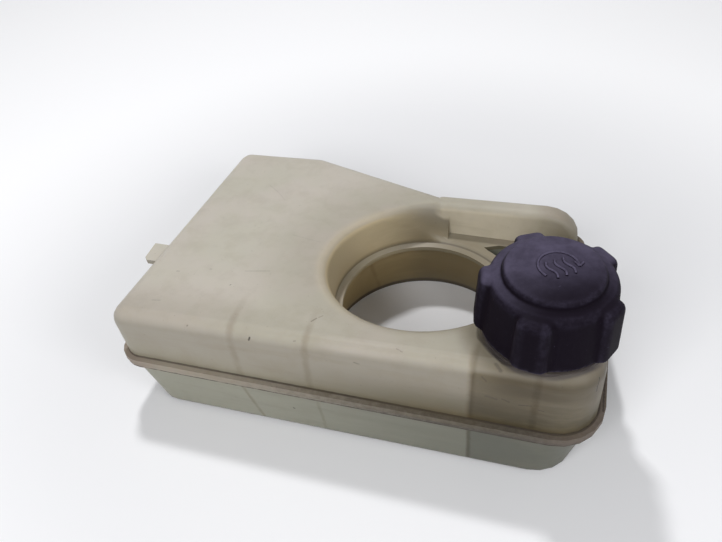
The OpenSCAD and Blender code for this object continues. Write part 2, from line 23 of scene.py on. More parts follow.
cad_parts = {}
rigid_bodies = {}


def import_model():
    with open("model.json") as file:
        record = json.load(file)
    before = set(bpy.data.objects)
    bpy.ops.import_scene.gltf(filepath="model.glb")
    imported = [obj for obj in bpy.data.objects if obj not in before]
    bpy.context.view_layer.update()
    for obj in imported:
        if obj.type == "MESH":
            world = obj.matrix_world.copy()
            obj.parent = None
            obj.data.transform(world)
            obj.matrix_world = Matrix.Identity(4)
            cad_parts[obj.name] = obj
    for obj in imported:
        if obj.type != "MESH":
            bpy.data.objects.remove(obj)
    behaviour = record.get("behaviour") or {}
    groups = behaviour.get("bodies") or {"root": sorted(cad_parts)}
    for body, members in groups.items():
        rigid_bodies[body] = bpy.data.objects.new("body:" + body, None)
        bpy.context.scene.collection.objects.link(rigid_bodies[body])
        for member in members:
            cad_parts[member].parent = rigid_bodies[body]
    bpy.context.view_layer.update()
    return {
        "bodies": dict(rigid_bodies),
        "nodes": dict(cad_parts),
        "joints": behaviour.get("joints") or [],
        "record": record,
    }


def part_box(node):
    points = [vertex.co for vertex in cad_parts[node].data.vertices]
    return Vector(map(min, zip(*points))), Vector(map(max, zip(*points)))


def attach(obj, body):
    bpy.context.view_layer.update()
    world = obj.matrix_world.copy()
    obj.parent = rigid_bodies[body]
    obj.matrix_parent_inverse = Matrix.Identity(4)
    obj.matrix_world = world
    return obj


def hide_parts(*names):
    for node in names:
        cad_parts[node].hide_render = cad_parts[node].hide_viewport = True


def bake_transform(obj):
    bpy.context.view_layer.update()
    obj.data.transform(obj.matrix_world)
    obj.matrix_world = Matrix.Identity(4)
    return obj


LOG = logging.getLogger("expansion_tank")
MM = 0.001

Colour = tuple[float, float, float]
Point = tuple[float, float, float]
Flat = tuple[float, float]
# A soft step: where it starts and ends, then its results there if they aren't 0 and 1.
Fade = tuple[float, ...]
# A noise: its waves in a millimetre, its octaves and the share of the fine ones.
Waves = tuple[float, float, float]
WHITE = (1.0, 1.0, 1.0)
Socket = bpy.types.NodeSocket


class Body(str, Enum):
    """The moving bodies of the part that pieces of the scene ride on."""

    TANK = "tank"
    CAP = "cap"
    PLUG = "valve_plug"
    PLATE = "pressure_valve"
    POPPET = "vacuum_valve"


class Slot(str, Enum):
    """The material slots of the part's record."""

    UPPER = "aged_plastic_upper"
    LOWER = "aged_plastic_lower"
    CAP = "cap_plastic"
    STEEL = "spring_steel"


def rgba(colour: Colour) -> tuple[float, float, float, float]:
    """The colour with full alpha."""
    return (*colour, 1.0)


class Graph:
    """Adds shader nodes to a tree with short calls."""

    def __init__(self, tree: bpy.types.NodeTree) -> None:
        """Works on one node tree.

        Args:
            tree: The tree that gets the nodes.
        """
        self.tree = tree

    @classmethod
    def material(cls, name: str) -> tuple[bpy.types.Material, Graph, bpy.types.Node]:
        """Starts a material.

        Args:
            name: Its name.

        Returns:
            The material, its graph and its surface's node.
        """
        material = bpy.data.materials.new(name)
        material.use_nodes = True
        return material, cls(material.node_tree), material.node_tree.nodes["Principled BSDF"]

    def node(self, kind: str, **settings: object) -> bpy.types.Node:
        """Adds a node.

        Args:
            kind: The node's type.
            settings: Properties to set on it.

        Returns:
            The new node.
        """
        new = self.tree.nodes.new(kind)
        for name, value in settings.items():
            setattr(new, name, value)
        return new

    def feed(self, socket: Socket, value: object) -> None:
        """Links a socket to an input, or sets the input's own value.

        Args:
            socket: The input.
            value: A number of the shader, a socket, a plain value, or None to leave the input as it is.
        """
        if isinstance(value, Number):
            value = value.socket
        if isinstance(value, bpy.types.NodeSocket):
            self.tree.links.new(value, socket)
        elif value is not None:
            socket.default_value = value

    def fill(self, node: bpy.types.Node, **values: object) -> None:
        """Feeds a node's inputs.

        Args:
            node: The node.
            values: What each input gets, with the spaces of its name written as underscores.
        """
        for title, value in values.items():
            self.feed(node.inputs[title.replace("_", " ")], value)

    def math(self, operation: str, a: object, b: object = None, clamp: bool = False) -> Number:
        """One step of arithmetic.

        Args:
            operation: Name of the operation.
            a: First number.
            b: Second number.
            clamp: Keeps the result from 0 to 1.

        Returns:
            The result.
        """
        step = self.node("ShaderNodeMath", operation=operation, use_clamp=clamp)
        self.feed(step.inputs[0], a)
        self.feed(step.inputs[1], b)
        return Number(self, step.outputs[0])

    def vector(self, operation: str, a: object, b: object) -> bpy.types.Node:
        """One step of arithmetic on vectors.

        Args:
            operation: Name of the operation.
            a: First vector.
            b: Second vector, or None.

        Returns:
            The step's node.
        """
        step = self.node("ShaderNodeVectorMath", operation=operation)
        self.feed(step.inputs[0], a)
        self.feed(step.inputs[1], b)
        return step

    def mix(self, factor: object, a: object, b: object, blend: str = "MIX") -> Socket:
        """A mix of two colours.

        Args:
            factor: Share of the second colour.
            a: First colour or socket.
            b: Second colour or socket.
            blend: The blend's type.

        Returns:
            The mixed colour's socket.
        """
        step = self.node("ShaderNodeMix", data_type="RGBA", blend_type=blend)
        step.clamp_factor = True
        self.feed(step.inputs[0], factor)
        self.feed(step.inputs[6], rgba(a) if isinstance(a, tuple) else a)
        self.feed(step.inputs[7], rgba(b) if isinstance(b, tuple) else b)
        return step.outputs[2]

    def noise(self, place: Socket, waves: Waves, stretch: Point = (1.0, 1.0, 1.0)) -> Number:
        """Noise at a place in millimetres.

        Args:
            place: The place's socket.
            waves: The noise's waves.
            stretch: Factor on each axis before the noise.

        Returns:
            A number round 0.5.
        """
        scale, detail, rough = waves
        at = self.vector("MULTIPLY", place, stretch).outputs[0]
        step = self.node("ShaderNodeTexNoise")
        self.fill(step, Vector=at, Scale=scale, Detail=detail, Roughness=rough)
        return Number(self, step.outputs["Fac"])

    def millimetres(self) -> tuple[Socket, Number]:
        """Where a point of the piece is, and how far its face looks up.

        Returns:
            The place's socket, in millimetres, and a number that is 1 on a face that looks straight up.
        """
        coordinates = self.node("ShaderNodeTexCoord")
        place = self.vector("MULTIPLY", coordinates.outputs["Object"], (1 / MM, 1 / MM, 1 / MM)).outputs[0]
        return place, self.split(coordinates.outputs["Normal"])[2]

    def split(self, vector: Socket) -> list[Number]:
        """The three parts of a vector.

        Args:
            vector: The vector's socket.

        Returns:
            Its X, Y and Z.
        """
        parts = self.node("ShaderNodeSeparateXYZ")
        self.feed(parts.inputs[0], vector)
        return [Number(self, socket) for socket in parts.outputs]

    def bump(self, skin: bpy.types.Node, height: object, strength: float, depth: float) -> None:
        """Gives a surface its bumps.

        Args:
            skin: The surface's node.
            height: The bumps' height.
            strength: Their strength.
            depth: Their depth in millimetres.
        """
        bump = self.node("ShaderNodeBump")
        self.fill(bump, Strength=strength, Distance=depth * MM, Height=height)
        self.fill(skin, Normal=bump.outputs["Normal"])


@dataclass(frozen=True)
class Number:
    """A number of a shader, on which plain arithmetic adds nodes.

    Attributes:
        graph: The graph that gets the nodes.
        socket: The number's socket.
    """

    graph: Graph
    socket: Socket

    def __add__(self, other: object) -> Number:
        """The sum of two numbers."""
        return self.graph.math("ADD", self, other)

    def __sub__(self, other: object) -> Number:
        """This number less the other."""
        return self.graph.math("SUBTRACT", self, other)

    def __rsub__(self, other: float) -> Number:
        """The other number less this one."""
        return self.graph.math("SUBTRACT", other, self)

    def __mul__(self, other: object) -> Number:
        """The product of two numbers."""
        return self.graph.math("MULTIPLY", self, other)

    def __truediv__(self, other: object) -> Number:
        """This number over the other."""
        return self.graph.math("DIVIDE", self, other)

    def __abs__(self) -> Number:
        """The number without its sign."""
        return self.graph.math("ABSOLUTE", self)

    def most(self, other: object) -> Number:
        """The greater of two numbers."""
        return self.graph.math("MAXIMUM", self, other)

    def least(self, other: object) -> Number:
        """The smaller of two numbers."""
        return self.graph.math("MINIMUM", self, other)

    def root(self) -> Number:
        """The square root."""
        return self.graph.math("SQRT", self)

    def ramp(self, fade: Fade, base: float = 0.0) -> Number:
        """A soft step of the number.

        Args:
            fade: The step; where it starts may be above where it ends, for a step down.
            base: Added to where it starts and ends.

        Returns:
            The result.
        """
        low, high, *results = fade
        out_low, out_high = results or (0.0, 1.0)
        if low > high:
            low, high, out_low, out_high = high, low, out_high, out_low
        step = self.graph.node("ShaderNodeMapRange", interpolation_type="SMOOTHSTEP", clamp=True)
        self.graph.fill(step, Value=self, From_Min=base + low, From_Max=base + high, To_Min=out_low,
                        To_Max=out_high)
        return Number(self.graph, step.outputs["Result"])


class Groups:
    """The shader node groups that several finishes share, each built once."""

    built: dict[str, bpy.types.NodeTree] = {}
    # The shortest mark's squared length, and where a mark ends across its width.
    shortest = 0.0001
    mark_edge = (1.0, 0.2)
    # The grain's noises, and where its patches and specks come and go.
    fine_waves = (2.2, 4.0, 0.6)
    fine_share = 0.4
    broad_waves = (0.10, 3.0, 0.5)
    patch_waves = (0.022, 3.0, 0.5)
    patch_fade = (0.36, 0.64)
    speck_waves = (0.55, 2.0, 0.7)
    speck_fade = (0.70, 0.76)

    @classmethod
    def start(cls, name: str, inputs: dict[str, str], outputs: dict[str, str]) -> tuple[Graph, dict, dict]:
        """Starts a group with named sockets.

        Args:
            name: The group's name.
            inputs: Socket types by name.
            outputs: Socket types by name.

        Returns:
            The group's graph, its input sockets and its output sockets by name.
        """
        tree = bpy.data.node_groups.new(name, "ShaderNodeTree")
        for title, kind in inputs.items():
            tree.interface.new_socket(title, in_out="INPUT", socket_type=kind)
        for title, kind in outputs.items():
            tree.interface.new_socket(title, in_out="OUTPUT", socket_type=kind)
        graph = Graph(tree)
        entry = graph.node("NodeGroupInput")
        leave = graph.node("NodeGroupOutput")
        cls.built[name] = tree
        return graph, {n: entry.outputs[n] for n in inputs}, {n: leave.inputs[n] for n in outputs}

    @classmethod
    def use(cls, graph: Graph, name: str, **values: object) -> bpy.types.Node:
        """Places a group in a tree.

        Args:
            graph: The tree's graph.
            name: The group's name.
            values: What its inputs get.

        Returns:
            The group's node.
        """
        if name not in cls.built:
            getattr(cls, "build_" + name)()
        placed = graph.node("ShaderNodeGroup", node_tree=cls.built[name])
        graph.fill(placed, **values)
        return placed

    @classmethod
    def build_scratch(cls) -> None:
        """A thin mark between two places: 1 on the mark and 0 away from it."""
        graph, given, result = cls.start(
            "scratch",
            {"Place": "NodeSocketVector", "Wobble": "NodeSocketFloat", "Start": "NodeSocketVector",
             "End": "NodeSocketVector", "Width": "NodeSocketFloat"},
            {"Mask": "NodeSocketFloat"})
        along = graph.vector("SUBTRACT", given["End"], given["Start"]).outputs[0]
        reach = graph.vector("SUBTRACT", given["Place"], given["Start"]).outputs[0]
        length = graph.vector("DOT_PRODUCT", along, along).outputs["Value"]
        share = graph.vector("DOT_PRODUCT", reach, along).outputs["Value"]
        share = graph.math("DIVIDE", share, graph.math("MAXIMUM", length, cls.shortest), clamp=True)
        foot = graph.vector("SCALE", along, None)
        graph.fill(foot, Scale=share)
        gap = graph.vector("DISTANCE", reach, foot.outputs[0]).outputs["Value"]
        gap = graph.math("ADD", gap, graph.math("MULTIPLY", given["Wobble"], given["Width"]))
        graph.feed(result["Mask"], (gap / given["Width"]).ramp(cls.mark_edge))

    @classmethod
    def build_grain(cls) -> None:
        """The fine grain of a moulded surface, as a height, a patchy tone and small specks."""
        graph, given, result = cls.start(
            "grain",
            {"Place": "NodeSocketVector"},
            {"Height": "NodeSocketFloat", "Tone": "NodeSocketFloat", "Specks": "NodeSocketFloat"})
        place = given["Place"]
        fine = graph.noise(place, cls.fine_waves)
        graph.feed(result["Height"], fine * cls.fine_share + graph.noise(place, cls.broad_waves))
        graph.feed(result["Tone"], graph.noise(place, cls.patch_waves).ramp(cls.patch_fade))
        graph.feed(result["Specks"], graph.noise(place, cls.speck_waves).ramp(cls.speck_fade))


@dataclass(frozen=True)
class TankPlan:
    """Places on the tank that its finish and its thread follow, in millimetres.

    The walls' places are those of the part, and the outline's corners stand at the weld.
    """

    front: float = -77.4
    left: float = -156.0
    right: float = 101.0
    fin_front: float = 61.7
    fin_back: float = 74.2
    fin_right: float = 82.8
    back: float = 112.5
    back_end: float = -96.0
    notch_x: float = 4.0
    tower_back: float = -6.4
    corner: float = 10.0
    tower_corner: float = 22.0
    hole_radius: float = 52.4
    lip_radius: float = 60.5
    weld_top: float = 3.0
    tower_wall: float = 39.4
    foot: float = -38.5
    neck_x: float = 69.6
    neck_y: float = -42.2
    neck_radius: float = 25.0
    collar_radius: float = 31.0
    collar_top: float = 42.0


@dataclass(frozen=True)
class Mark:
    """A scratch, chip or smear on the tank's skin, from one place to another, in millimetres."""

    start: Point
    end: Point
    width: float
    depth: float


@dataclass(frozen=True)
class Baffle:
    """An inner wall that shows through the plastic as a darker line.

    Attributes:
        x: Its place on the front wall at the weld.
        lean_z: How far it moves along X in a millimetre of height.
        lean_y: How far it moves along X in a millimetre of depth.
        reach: How far back it shows on the top.
        width: Half its width.
        depth: Its strength.
    """

    x: float
    lean_z: float
    lean_y: float
    reach: float
    width: float
    depth: float


@dataclass(frozen=True)
class Ground:
    """What the layers of a half's finish read.

    Attributes:
        graph: The material's graph.
        place: The place in millimetres.
        x: Its X.
        y: Its Y.
        z: Its Z.
        upright: 1 on a wall and 0 on a level face.
        ragged: Fine noise round 0, for broken edges.
        streak: Level streaks of noise round 0.5.
        gap: How far inside the walls' outline the place is.
        radius: Its distance from the strut hole's axis.
    """

    graph: Graph
    place: Socket
    x: Number
    y: Number
    z: Number
    upright: Number
    ragged: Number
    streak: Number
    gap: Number
    radius: Number


@dataclass(frozen=True)
class Layers:
    """Where the layers of a half's finish start and end, and how strong they are.

    Lengths are millimetres. Where a method names a place of the plan beside a fade, the fade counts from that
    place. A sway is how far a noise moves a layer, and a share is the layer's strength.
    """

    upright: Fade = (0.88, 0.25)
    ragged: Waves = (0.22, 4.0, 0.65)
    streak: Waves = (0.05, 4.0, 0.6)
    streak_stretch: Point = (0.35, 1.0, 2.6)
    low_sway: float = 22.0
    low: Fade = (34.0, 6.0)
    drift_sway: float = 60.0
    drift: Fade = (-90.0, 60.0, 0.0, 0.25)
    tower_edge: Fade = (-1.5, 1.5)
    tower_depth: Fade = (45.0, 25.0)
    tower_drift: Fade = (0.0, 60.6, 1.0, 0.45)
    under_sway: float = 12.0
    under: Fade = (36.0, 13.0)
    under_drift: Fade = (-110.0, 50.0)
    fin_face: Fade = (-1.5, -0.5)
    fin_start: Fade = (-8.0, 0.0)
    fin_drift: Fade = (35.0, 80.0, 1.0, 0.15)
    web_side: Fade = (-25.0, 15.0)
    web_depth: Fade = (25.0, 40.0, 0.0, 0.8)
    web_height: Fade = (24.0, 16.0)
    end_side: Fade = (40.0, 78.0, 0.0, 0.75)
    end_depth: Fade = (45.0, 55.0)
    round_hole: Fade = (112.0, 62.0, 0.0, 0.32)
    front_edge: Fade = (38.0, 6.0, 0.0, 0.34)
    level: Fade = (0.0, 1.0, 1.0, 0.0)
    cloud: Waves = (0.075, 5.0, 0.62)
    cloudy: Fade = (0.42, 0.72)
    cloud_share: float = 0.13
    streaky: Fade = (0.5, 0.72)
    streak_share: float = 0.14
    collar_near: Fade = (15.0, 3.0)
    collar_height: Fade = (-24.0, -12.0, 0.0, 0.75)
    ring_outside: Fade = (2.6, 1.0)
    ring_inside: Fade = (0.4, 1.4)
    ring_height: Fade = (-4.5, -1.0)
    ring_streak: Fade = (0.3, 0.6, 0.6, 0.9)
    hole_clear: Fade = (-1.2, 0.4, 0.6, 1.0)
    hole_edge: Fade = (3.0, -5.0)
    hole_upright: Fade = (0.05, 0.7, 0.35, 1.0)
    hole_sway: float = 12.0
    hole_deep: Fade = (20.0, -16.0)
    turn_sway: float = 14.0
    turned: Fade = (-54.0, -14.0, 1.25, 0.47)
    ring_gap: float = 0.3
    ring_line: Fade = (0.8, 0.1)
    ring_near: Fade = (2.0, -2.0)
    ring_shadow_share: float = 0.5
    foot_edge: Fade = (4.4, 2.2)
    foot_dirt_shade_share: float = 0.75
    baffle_sway: float = 1.6
    baffle_edge: Flat = (1.9, 0.2)
    baffle_end: Flat = (4.0, -12.0)
    baffle_waves: Waves = (0.09, 3.0, 0.6)
    baffle_broken: Fade = (0.3, 0.6, 0.45, 1.0)
    flange_sway: float = 0.5
    flange_edge: Fade = (0.5, -0.3)
    flange_height: Fade = (0.7, 0.3)
    spots: Waves = (0.3, 4.0, 0.7)
    spotty: Fade = (0.35, 0.7)
    rim_sway: float = 60.0
    rim_drift: Fade = (-140.0, 40.0)
    rim_spots: Fade = (-60.0, 40.0, 0.34, 0.12)
    rim_left: Fade = (-125.0, -152.0, 0.0, 0.55)
    rim_right: Fade = (60.0, 98.0, 0.0, 0.3)
    root_sway: float = 0.9
    root_height: Fade = (1.0, 0.5)
    root_gap: Fade = (0.9, 0.4)
    root_drift: Fade = (-130.0, 20.0, 0.7, 1.0)
    bank_height: Fade = (7.0, 0.0)
    bank_gap: Fade = (3.0, 0.5)
    bank_share: float = 0.22
    bank_streak: Fade = (0.3, 0.7)
    edge_drop: float = 0.35
    edge_sway: float = 1.4
    edge_height: Fade = (0.7, 0.1)
    torn: Waves = (0.12, 4.0, 0.7)
    torn_fade: Fade = (0.38, 0.55, 0.25, 1.0)
    wobble: Waves = (0.9, 3.0, 0.6)
    mark_share: float = 0.9
    speck_share: float = 0.22
    rough_share: float = 0.10
    flange_rough: float = 0.2
    flange_waves: Waves = (0.5, 4.0, 0.7)
    bump_share: float = 0.25
    bump_depth: float = 0.4
    gloss: float = 0.32
    glow_share: float = 0.15
    glow_depth: Point = (4.0, 3.4, 2.2)


@dataclass(frozen=True)
class AgedPlastic:
    """Aged translucent plastic of one half of the tank.

    Attributes:
        name: The material's name.
        top: Colour of the level faces.
        top_green: Its greener patches.
        wall: Colour of the walls.
        wall_low: Colour of the walls' lower part.
        shade: What the right end is multiplied by, for a stain and painted shade; also painted shade round
            the hole, on the web, along the front edge and near the cap.
        low_shade: What the wall next to the weld is multiplied by.
        fin: Colour of the fin's front face, lighter as painted light where it is lit.
        collar: Colour of the collar's ring under the cap: dirt with the painted shadow of the gap under the
            cap.
        hole: Colour of the hole's wall, lighter and browner than the outer walls as painted light through the
            plastic.
        hole_deep: Colour of the hole's wall further down, also painted light through the plastic.
        rim: Colour of the weld flange at the left.
        rim_stain_and_shade: Colour of the weld flange at the right, a stain with painted shade.
        rim_end: Colour of the weld flange near its left corner and its right end.
        line: Colour of the stains.
        grime_and_shade: Colour of the dirt, scratches, specks and dark lines along the flange; also painted
            shade under the weld ring and, with dirt, along the foot.
        baffles: The baffles that show.
        marks: The scratches and chips.
        baffle_tint: What the wall is multiplied by along a baffle.
        top_share: Share of the shade on level faces.
        root_line: Strength of the dark line above the flange.
        edge_line: Strength of the dark line under the flange.
        roughness: The plastic's roughness.
        plan: The places that the finish follows.
        layers: Where its layers start and end.
    """

    name: str
    top: Colour
    top_green: Colour
    wall: Colour
    wall_low: Colour
    shade: Colour
    low_shade: Colour
    fin: Colour
    collar: Colour
    hole: Colour
    hole_deep: Colour
    rim: Colour
    rim_stain_and_shade: Colour
    rim_end: Colour
    line: Colour
    grime_and_shade: Colour
    baffles: tuple[Baffle, ...]
    marks: tuple[Mark, ...]
    baffle_tint: Colour = (0.52, 0.45, 0.34)
    top_share: float = 0.4
    root_line: float = 0.0
    edge_line: float = 0.0
    roughness: float = 0.44
    plan: TankPlan = TankPlan()
    layers: Layers = Layers()

    @staticmethod
    def corner_gap(a: Number, b: Number, radius: float) -> Number:
        """Distance inside two square walls with a round corner between them.

        Args:
            a: Distance inside the first wall.
            b: Distance inside the second wall.
            radius: The corner's radius.

        Returns:
            The distance.
        """
        over_a = (radius - a).most(0.0)
        over_b = (radius - b).most(0.0)
        return radius - (over_a * over_a + over_b * over_b).root()

    @staticmethod
    def edge_gap(x: Number, y: Number, a: Flat, b: Flat) -> Number:
        """Distance to the left of a straight edge.

        Args:
            x: The place's X in millimetres.
            y: The place's Y in millimetres.
            a: The edge's start.
            b: The edge's end.

        Returns:
            The distance.
        """
        edge = Vector((b[0] - a[0], b[1] - a[1])).normalized()
        return (x - a[0]) * -edge.y + (y - a[1]) * edge.x

    def outline_gap(self, x: Number, y: Number) -> Number:
        """Distance inside the walls' outline, below 0 on the flange.

        Args:
            x: The place's X in millimetres.
            y: The place's Y in millimetres.

        Returns:
            The distance.
        """
        p = self.plan
        front = y - p.front
        left = x - p.left
        fin = p.fin_back - y
        slope = self.edge_gap(x, y, (p.notch_x, p.fin_back), (p.back_end, p.back))
        slant = self.edge_gap(x, y, (p.right, p.tower_back), (p.fin_right, p.fin_back))
        gap = self.corner_gap(front, left, p.corner)
        gap = gap.least(self.corner_gap(front, p.right - x, p.tower_corner))
        gap = gap.least(self.corner_gap(p.back - y, left, p.corner))
        return gap.least(slant).least(fin.most(slope))

    def survey(self, graph: Graph) -> Ground:
        """Gathers what the layers read.

        Args:
            graph: The material's graph.

        Returns:
            The ground that they stand on.
        """
        k = self.layers
        place, facing = graph.millimetres()
        x, y, z = graph.split(place)
        return Ground(
            graph=graph, place=place, x=x, y=y, z=z,
            upright=facing.ramp(k.upright),
            ragged=graph.noise(place, k.ragged) - 0.5,
            streak=graph.noise(place, k.streak, k.streak_stretch),
            gap=self.outline_gap(x, y),
            radius=(x * x + y * y).root())

    def skin_tone(self, g: Ground, tone: Socket) -> Socket:
        """Colour of the skin with its patches, a stain and painted shade at its right end, painted light on
        the fin's face and painted shade round the hole.

        Args:
            g: What to read.
            tone: The grain's patchy tone.

        Returns:
            The colour's socket.
        """
        mix = g.graph.mix
        p, k = self.plan, self.layers
        low = (g.z + g.streak * k.low_sway).ramp(k.low)
        colour = mix(tone, self.top, self.top_green)
        colour = mix(g.upright, colour, mix(low, self.wall, self.wall_low))
        # Stain and painted shade: darker towards the right end, most of all right of the tower's inner wall.
        drift = g.x + (g.streak - 0.5) * k.drift_sway
        chamber = g.x.ramp(k.tower_edge, p.tower_wall) * g.y.ramp(k.tower_depth, p.front)
        stain_and_shade = drift.ramp(k.drift) + chamber * drift.ramp(k.tower_drift, p.tower_wall)
        stain_and_shade = stain_and_shade * g.upright.ramp((0.0, 1.0, self.top_share, 1.0))
        colour = mix(stain_and_shade, colour, self.shade, "MULTIPLY")
        under = (g.z + g.streak * k.under_sway).ramp(k.under) * drift.ramp(k.under_drift) * g.upright
        colour = mix(under, colour, self.low_shade, "MULTIPLY")
        # Painted light: the fin's front face is lighter where it is lit, fading out to the right.
        fin = g.y.ramp(k.fin_face, p.fin_front) * g.upright * g.x.ramp(k.fin_start) * g.x.ramp(k.fin_drift)
        colour = mix(fin, colour, self.fin)
        # Painted shade: level faces are darker round the hole, on the web, at the back of the right end and
        # along the front edge.
        web = g.x.ramp(k.web_side) * g.y.ramp(k.web_depth) * g.z.ramp(k.web_height)
        end = g.x.ramp(k.end_side) * g.y.ramp(k.end_depth)
        beside = g.radius.ramp(k.round_hole).most(web).most(end).most(g.y.ramp(k.front_edge, p.front))
        colour = mix(beside * g.upright.ramp(k.level), colour, self.shade, "MULTIPLY")
        cloudy = g.graph.noise(g.place, k.cloud).ramp(k.cloudy) * k.cloud_share
        colour = mix(cloudy, colour, self.line)
        return mix(g.streak.ramp(k.streaky) * (g.upright * k.streak_share), colour, self.line)

    def collar_tone(self, g: Ground, colour: Socket) -> Socket:
        """Darkens the tank under the cap with dirt and painted shade, and paints the collar's ring with dirt
        and the painted shadow of the gap under the cap.

        Args:
            g: What to read.
            colour: The colour beneath.

        Returns:
            The colour's socket.
        """
        p, k = self.plan, self.layers
        across = g.x - p.neck_x
        deep = g.y - p.neck_y
        beside = (across * across + deep * deep).root()
        # Dirt and painted shade under the cap.
        near = beside.ramp(k.collar_near, p.collar_radius) * g.z.ramp(k.collar_height, p.collar_top)
        colour = g.graph.mix(near, colour, self.shade, "MULTIPLY")
        # The collar's ring: dirt and the painted shadow of the gap under the cap.
        ring = (beside.ramp(k.ring_outside, p.collar_radius) * beside.ramp(k.ring_inside, p.neck_radius)
                * g.z.ramp(k.ring_height, p.collar_top))
        return g.graph.mix(ring * g.streak.ramp(k.ring_streak), colour, self.collar)

    def hole_tone(self, g: Ground, colour: Socket) -> Socket:
        """Paints the hole's wall browner and lighter, as painted light through the plastic, and draws a
        painted shadow line under the weld ring and a line of dirt and painted contact shadow along the foot.

        Args:
            g: What to read.
            colour: The colour beneath.

        Returns:
            The colour's socket.
        """
        mix = g.graph.mix
        p, k = self.plan, self.layers
        height = abs(g.z)
        # Painted light: the hole's wall is browner and lighter than the outer walls, for light through the
        # plastic; it is lighter on its left and darker on its right.
        inside = (g.radius.ramp(k.hole_edge, p.lip_radius) * height.ramp(k.hole_clear, p.weld_top)
                  * g.upright.ramp(k.hole_upright))
        deep = (g.z + g.streak * k.hole_sway).ramp(k.hole_deep)
        turned = (g.x - g.streak * k.turn_sway).ramp(k.turned)
        light_through = mix(1.0, mix(deep, self.hole, self.hole_deep), turned, "MULTIPLY")
        colour = mix(inside, colour, light_through)
        # Painted shadow: a dark line under the weld ring.
        line = abs(g.radius - (p.hole_radius + k.ring_gap)).ramp(k.ring_line)
        colour = mix(line * height.ramp(k.ring_near, p.weld_top) * k.ring_shadow_share, colour, self.grime_and_shade)
        # Dirt and a painted contact shadow along the foot.
        foot = (g.z + g.ragged).ramp(k.foot_edge, p.foot)
        return mix(foot * k.foot_dirt_shade_share, colour, self.grime_and_shade)

    def baffle_tone(self, g: Ground, colour: Socket) -> Socket:
        """Draws the baffles' lines.

        Args:
            g: What to read.
            colour: The colour beneath.

        Returns:
            The colour's socket.
        """
        k = self.layers
        shiver = g.ragged * k.baffle_sway
        outer, inner = k.baffle_edge
        bands = []
        for line in self.baffles:
            lean = g.z * line.lean_z + (g.y - self.plan.front) * line.lean_y
            gap = g.x - line.x - lean + shiver
            band = abs(gap).ramp((line.width * outer, line.width * inner))
            fade = g.y.ramp((*k.baffle_end, 0.0, line.depth), line.reach)
            bands.append(band * fade)
        broken = g.graph.noise(g.place, k.baffle_waves).ramp(k.baffle_broken)
        return g.graph.mix(reduce(Number.most, bands) * broken, colour, self.baffle_tint, "MULTIPLY")

    def weld_tone(self, g: Ground, colour: Socket) -> tuple[Socket, Number]:
        """Colours the weld flange, a stain above it and the dark lines along its root and under its edge.

        Args:
            g: What to read.
            colour: The colour beneath.

        Returns:
            The colour's socket and the flange's mask.
        """
        mix = g.graph.mix
        top, k = self.plan.weld_top, self.layers
        outside = (g.gap + g.ragged * k.flange_sway).ramp(k.flange_edge)
        flange = outside * abs(g.z).ramp(k.flange_height, top)
        spotty = g.graph.noise(g.place, k.spots).ramp(k.spotty)
        reach = g.x + g.ragged * k.rim_sway
        # The flange is darker to the right: a stain and painted shade.
        rim = mix(reach.ramp(k.rim_drift), self.rim, self.rim_stain_and_shade)
        rim = mix(spotty * reach.ramp(k.rim_spots), rim, self.wall)
        rim = mix(g.x.ramp(k.rim_left).most(g.x.ramp(k.rim_right)), rim, self.rim_end)
        colour = mix(flange, colour, rim)
        above = g.z - (g.ragged * k.root_sway + top)
        root = abs(above).ramp(k.root_height) * abs(g.gap).ramp(k.root_gap)
        colour = mix(root * reach.ramp(k.root_drift) * self.root_line, colour, self.grime_and_shade)
        bank = above.ramp(k.bank_height) * g.gap.ramp(k.bank_gap) * self.root_line * k.bank_share
        colour = mix(bank * g.streak.ramp(k.bank_streak), colour, self.line)
        under = g.z + (g.ragged * k.edge_sway + (top - k.edge_drop))
        edge = abs(under).ramp(k.edge_height) * outside
        torn = g.graph.noise(g.place, k.torn).ramp(k.torn_fade)
        return mix(edge * torn * self.edge_line, colour, self.grime_and_shade), flange

    def mark_mask(self, g: Ground) -> Number:
        """Mask of the scratches and chips.

        Args:
            g: What to read.

        Returns:
            The mask, 0 where the skin is clean.
        """
        wobble = g.graph.noise(g.place, self.layers.wobble) - 0.5
        masks = []
        for mark in self.marks:
            one = Groups.use(g.graph, "scratch", Place=g.place, Wobble=wobble, Start=mark.start, End=mark.end,
                             Width=mark.width)
            masks.append(g.graph.math("MULTIPLY", one.outputs[0], mark.depth))
        return reduce(Number.most, masks)

    def build(self) -> bpy.types.Material:
        """Builds the material.

        Returns:
            The plastic's material.
        """
        material, graph, skin = Graph.material(self.name)
        k = self.layers
        g = self.survey(graph)
        grain = Groups.use(graph, "grain", Place=g.place)
        colour = self.skin_tone(g, grain.outputs["Tone"])
        for layer in (self.collar_tone, self.hole_tone, self.baffle_tone):
            colour = layer(g, colour)
        colour, flange = self.weld_tone(g, colour)
        marks = self.mark_mask(g)
        colour = graph.mix(marks * k.mark_share, colour, self.grime_and_shade)
        specks = graph.math("MULTIPLY", grain.outputs["Specks"], k.speck_share)
        rough = graph.math("MULTIPLY", grain.outputs["Tone"], k.rough_share) + self.roughness
        rough = graph.math("ADD", rough, flange * k.flange_rough, clamp=True)
        height = graph.math("SUBTRACT", grain.outputs["Height"], marks)
        height = height + flange * graph.noise(g.place, k.flange_waves)
        graph.bump(skin, height, k.bump_share, k.bump_depth)
        graph.fill(skin, Base_Color=graph.mix(specks, colour, self.grime_and_shade), Roughness=rough,
                   Specular_IOR_Level=k.gloss, Subsurface_Weight=k.glow_share,
                   Subsurface_Radius=tuple(depth * MM for depth in k.glow_depth))
        return material


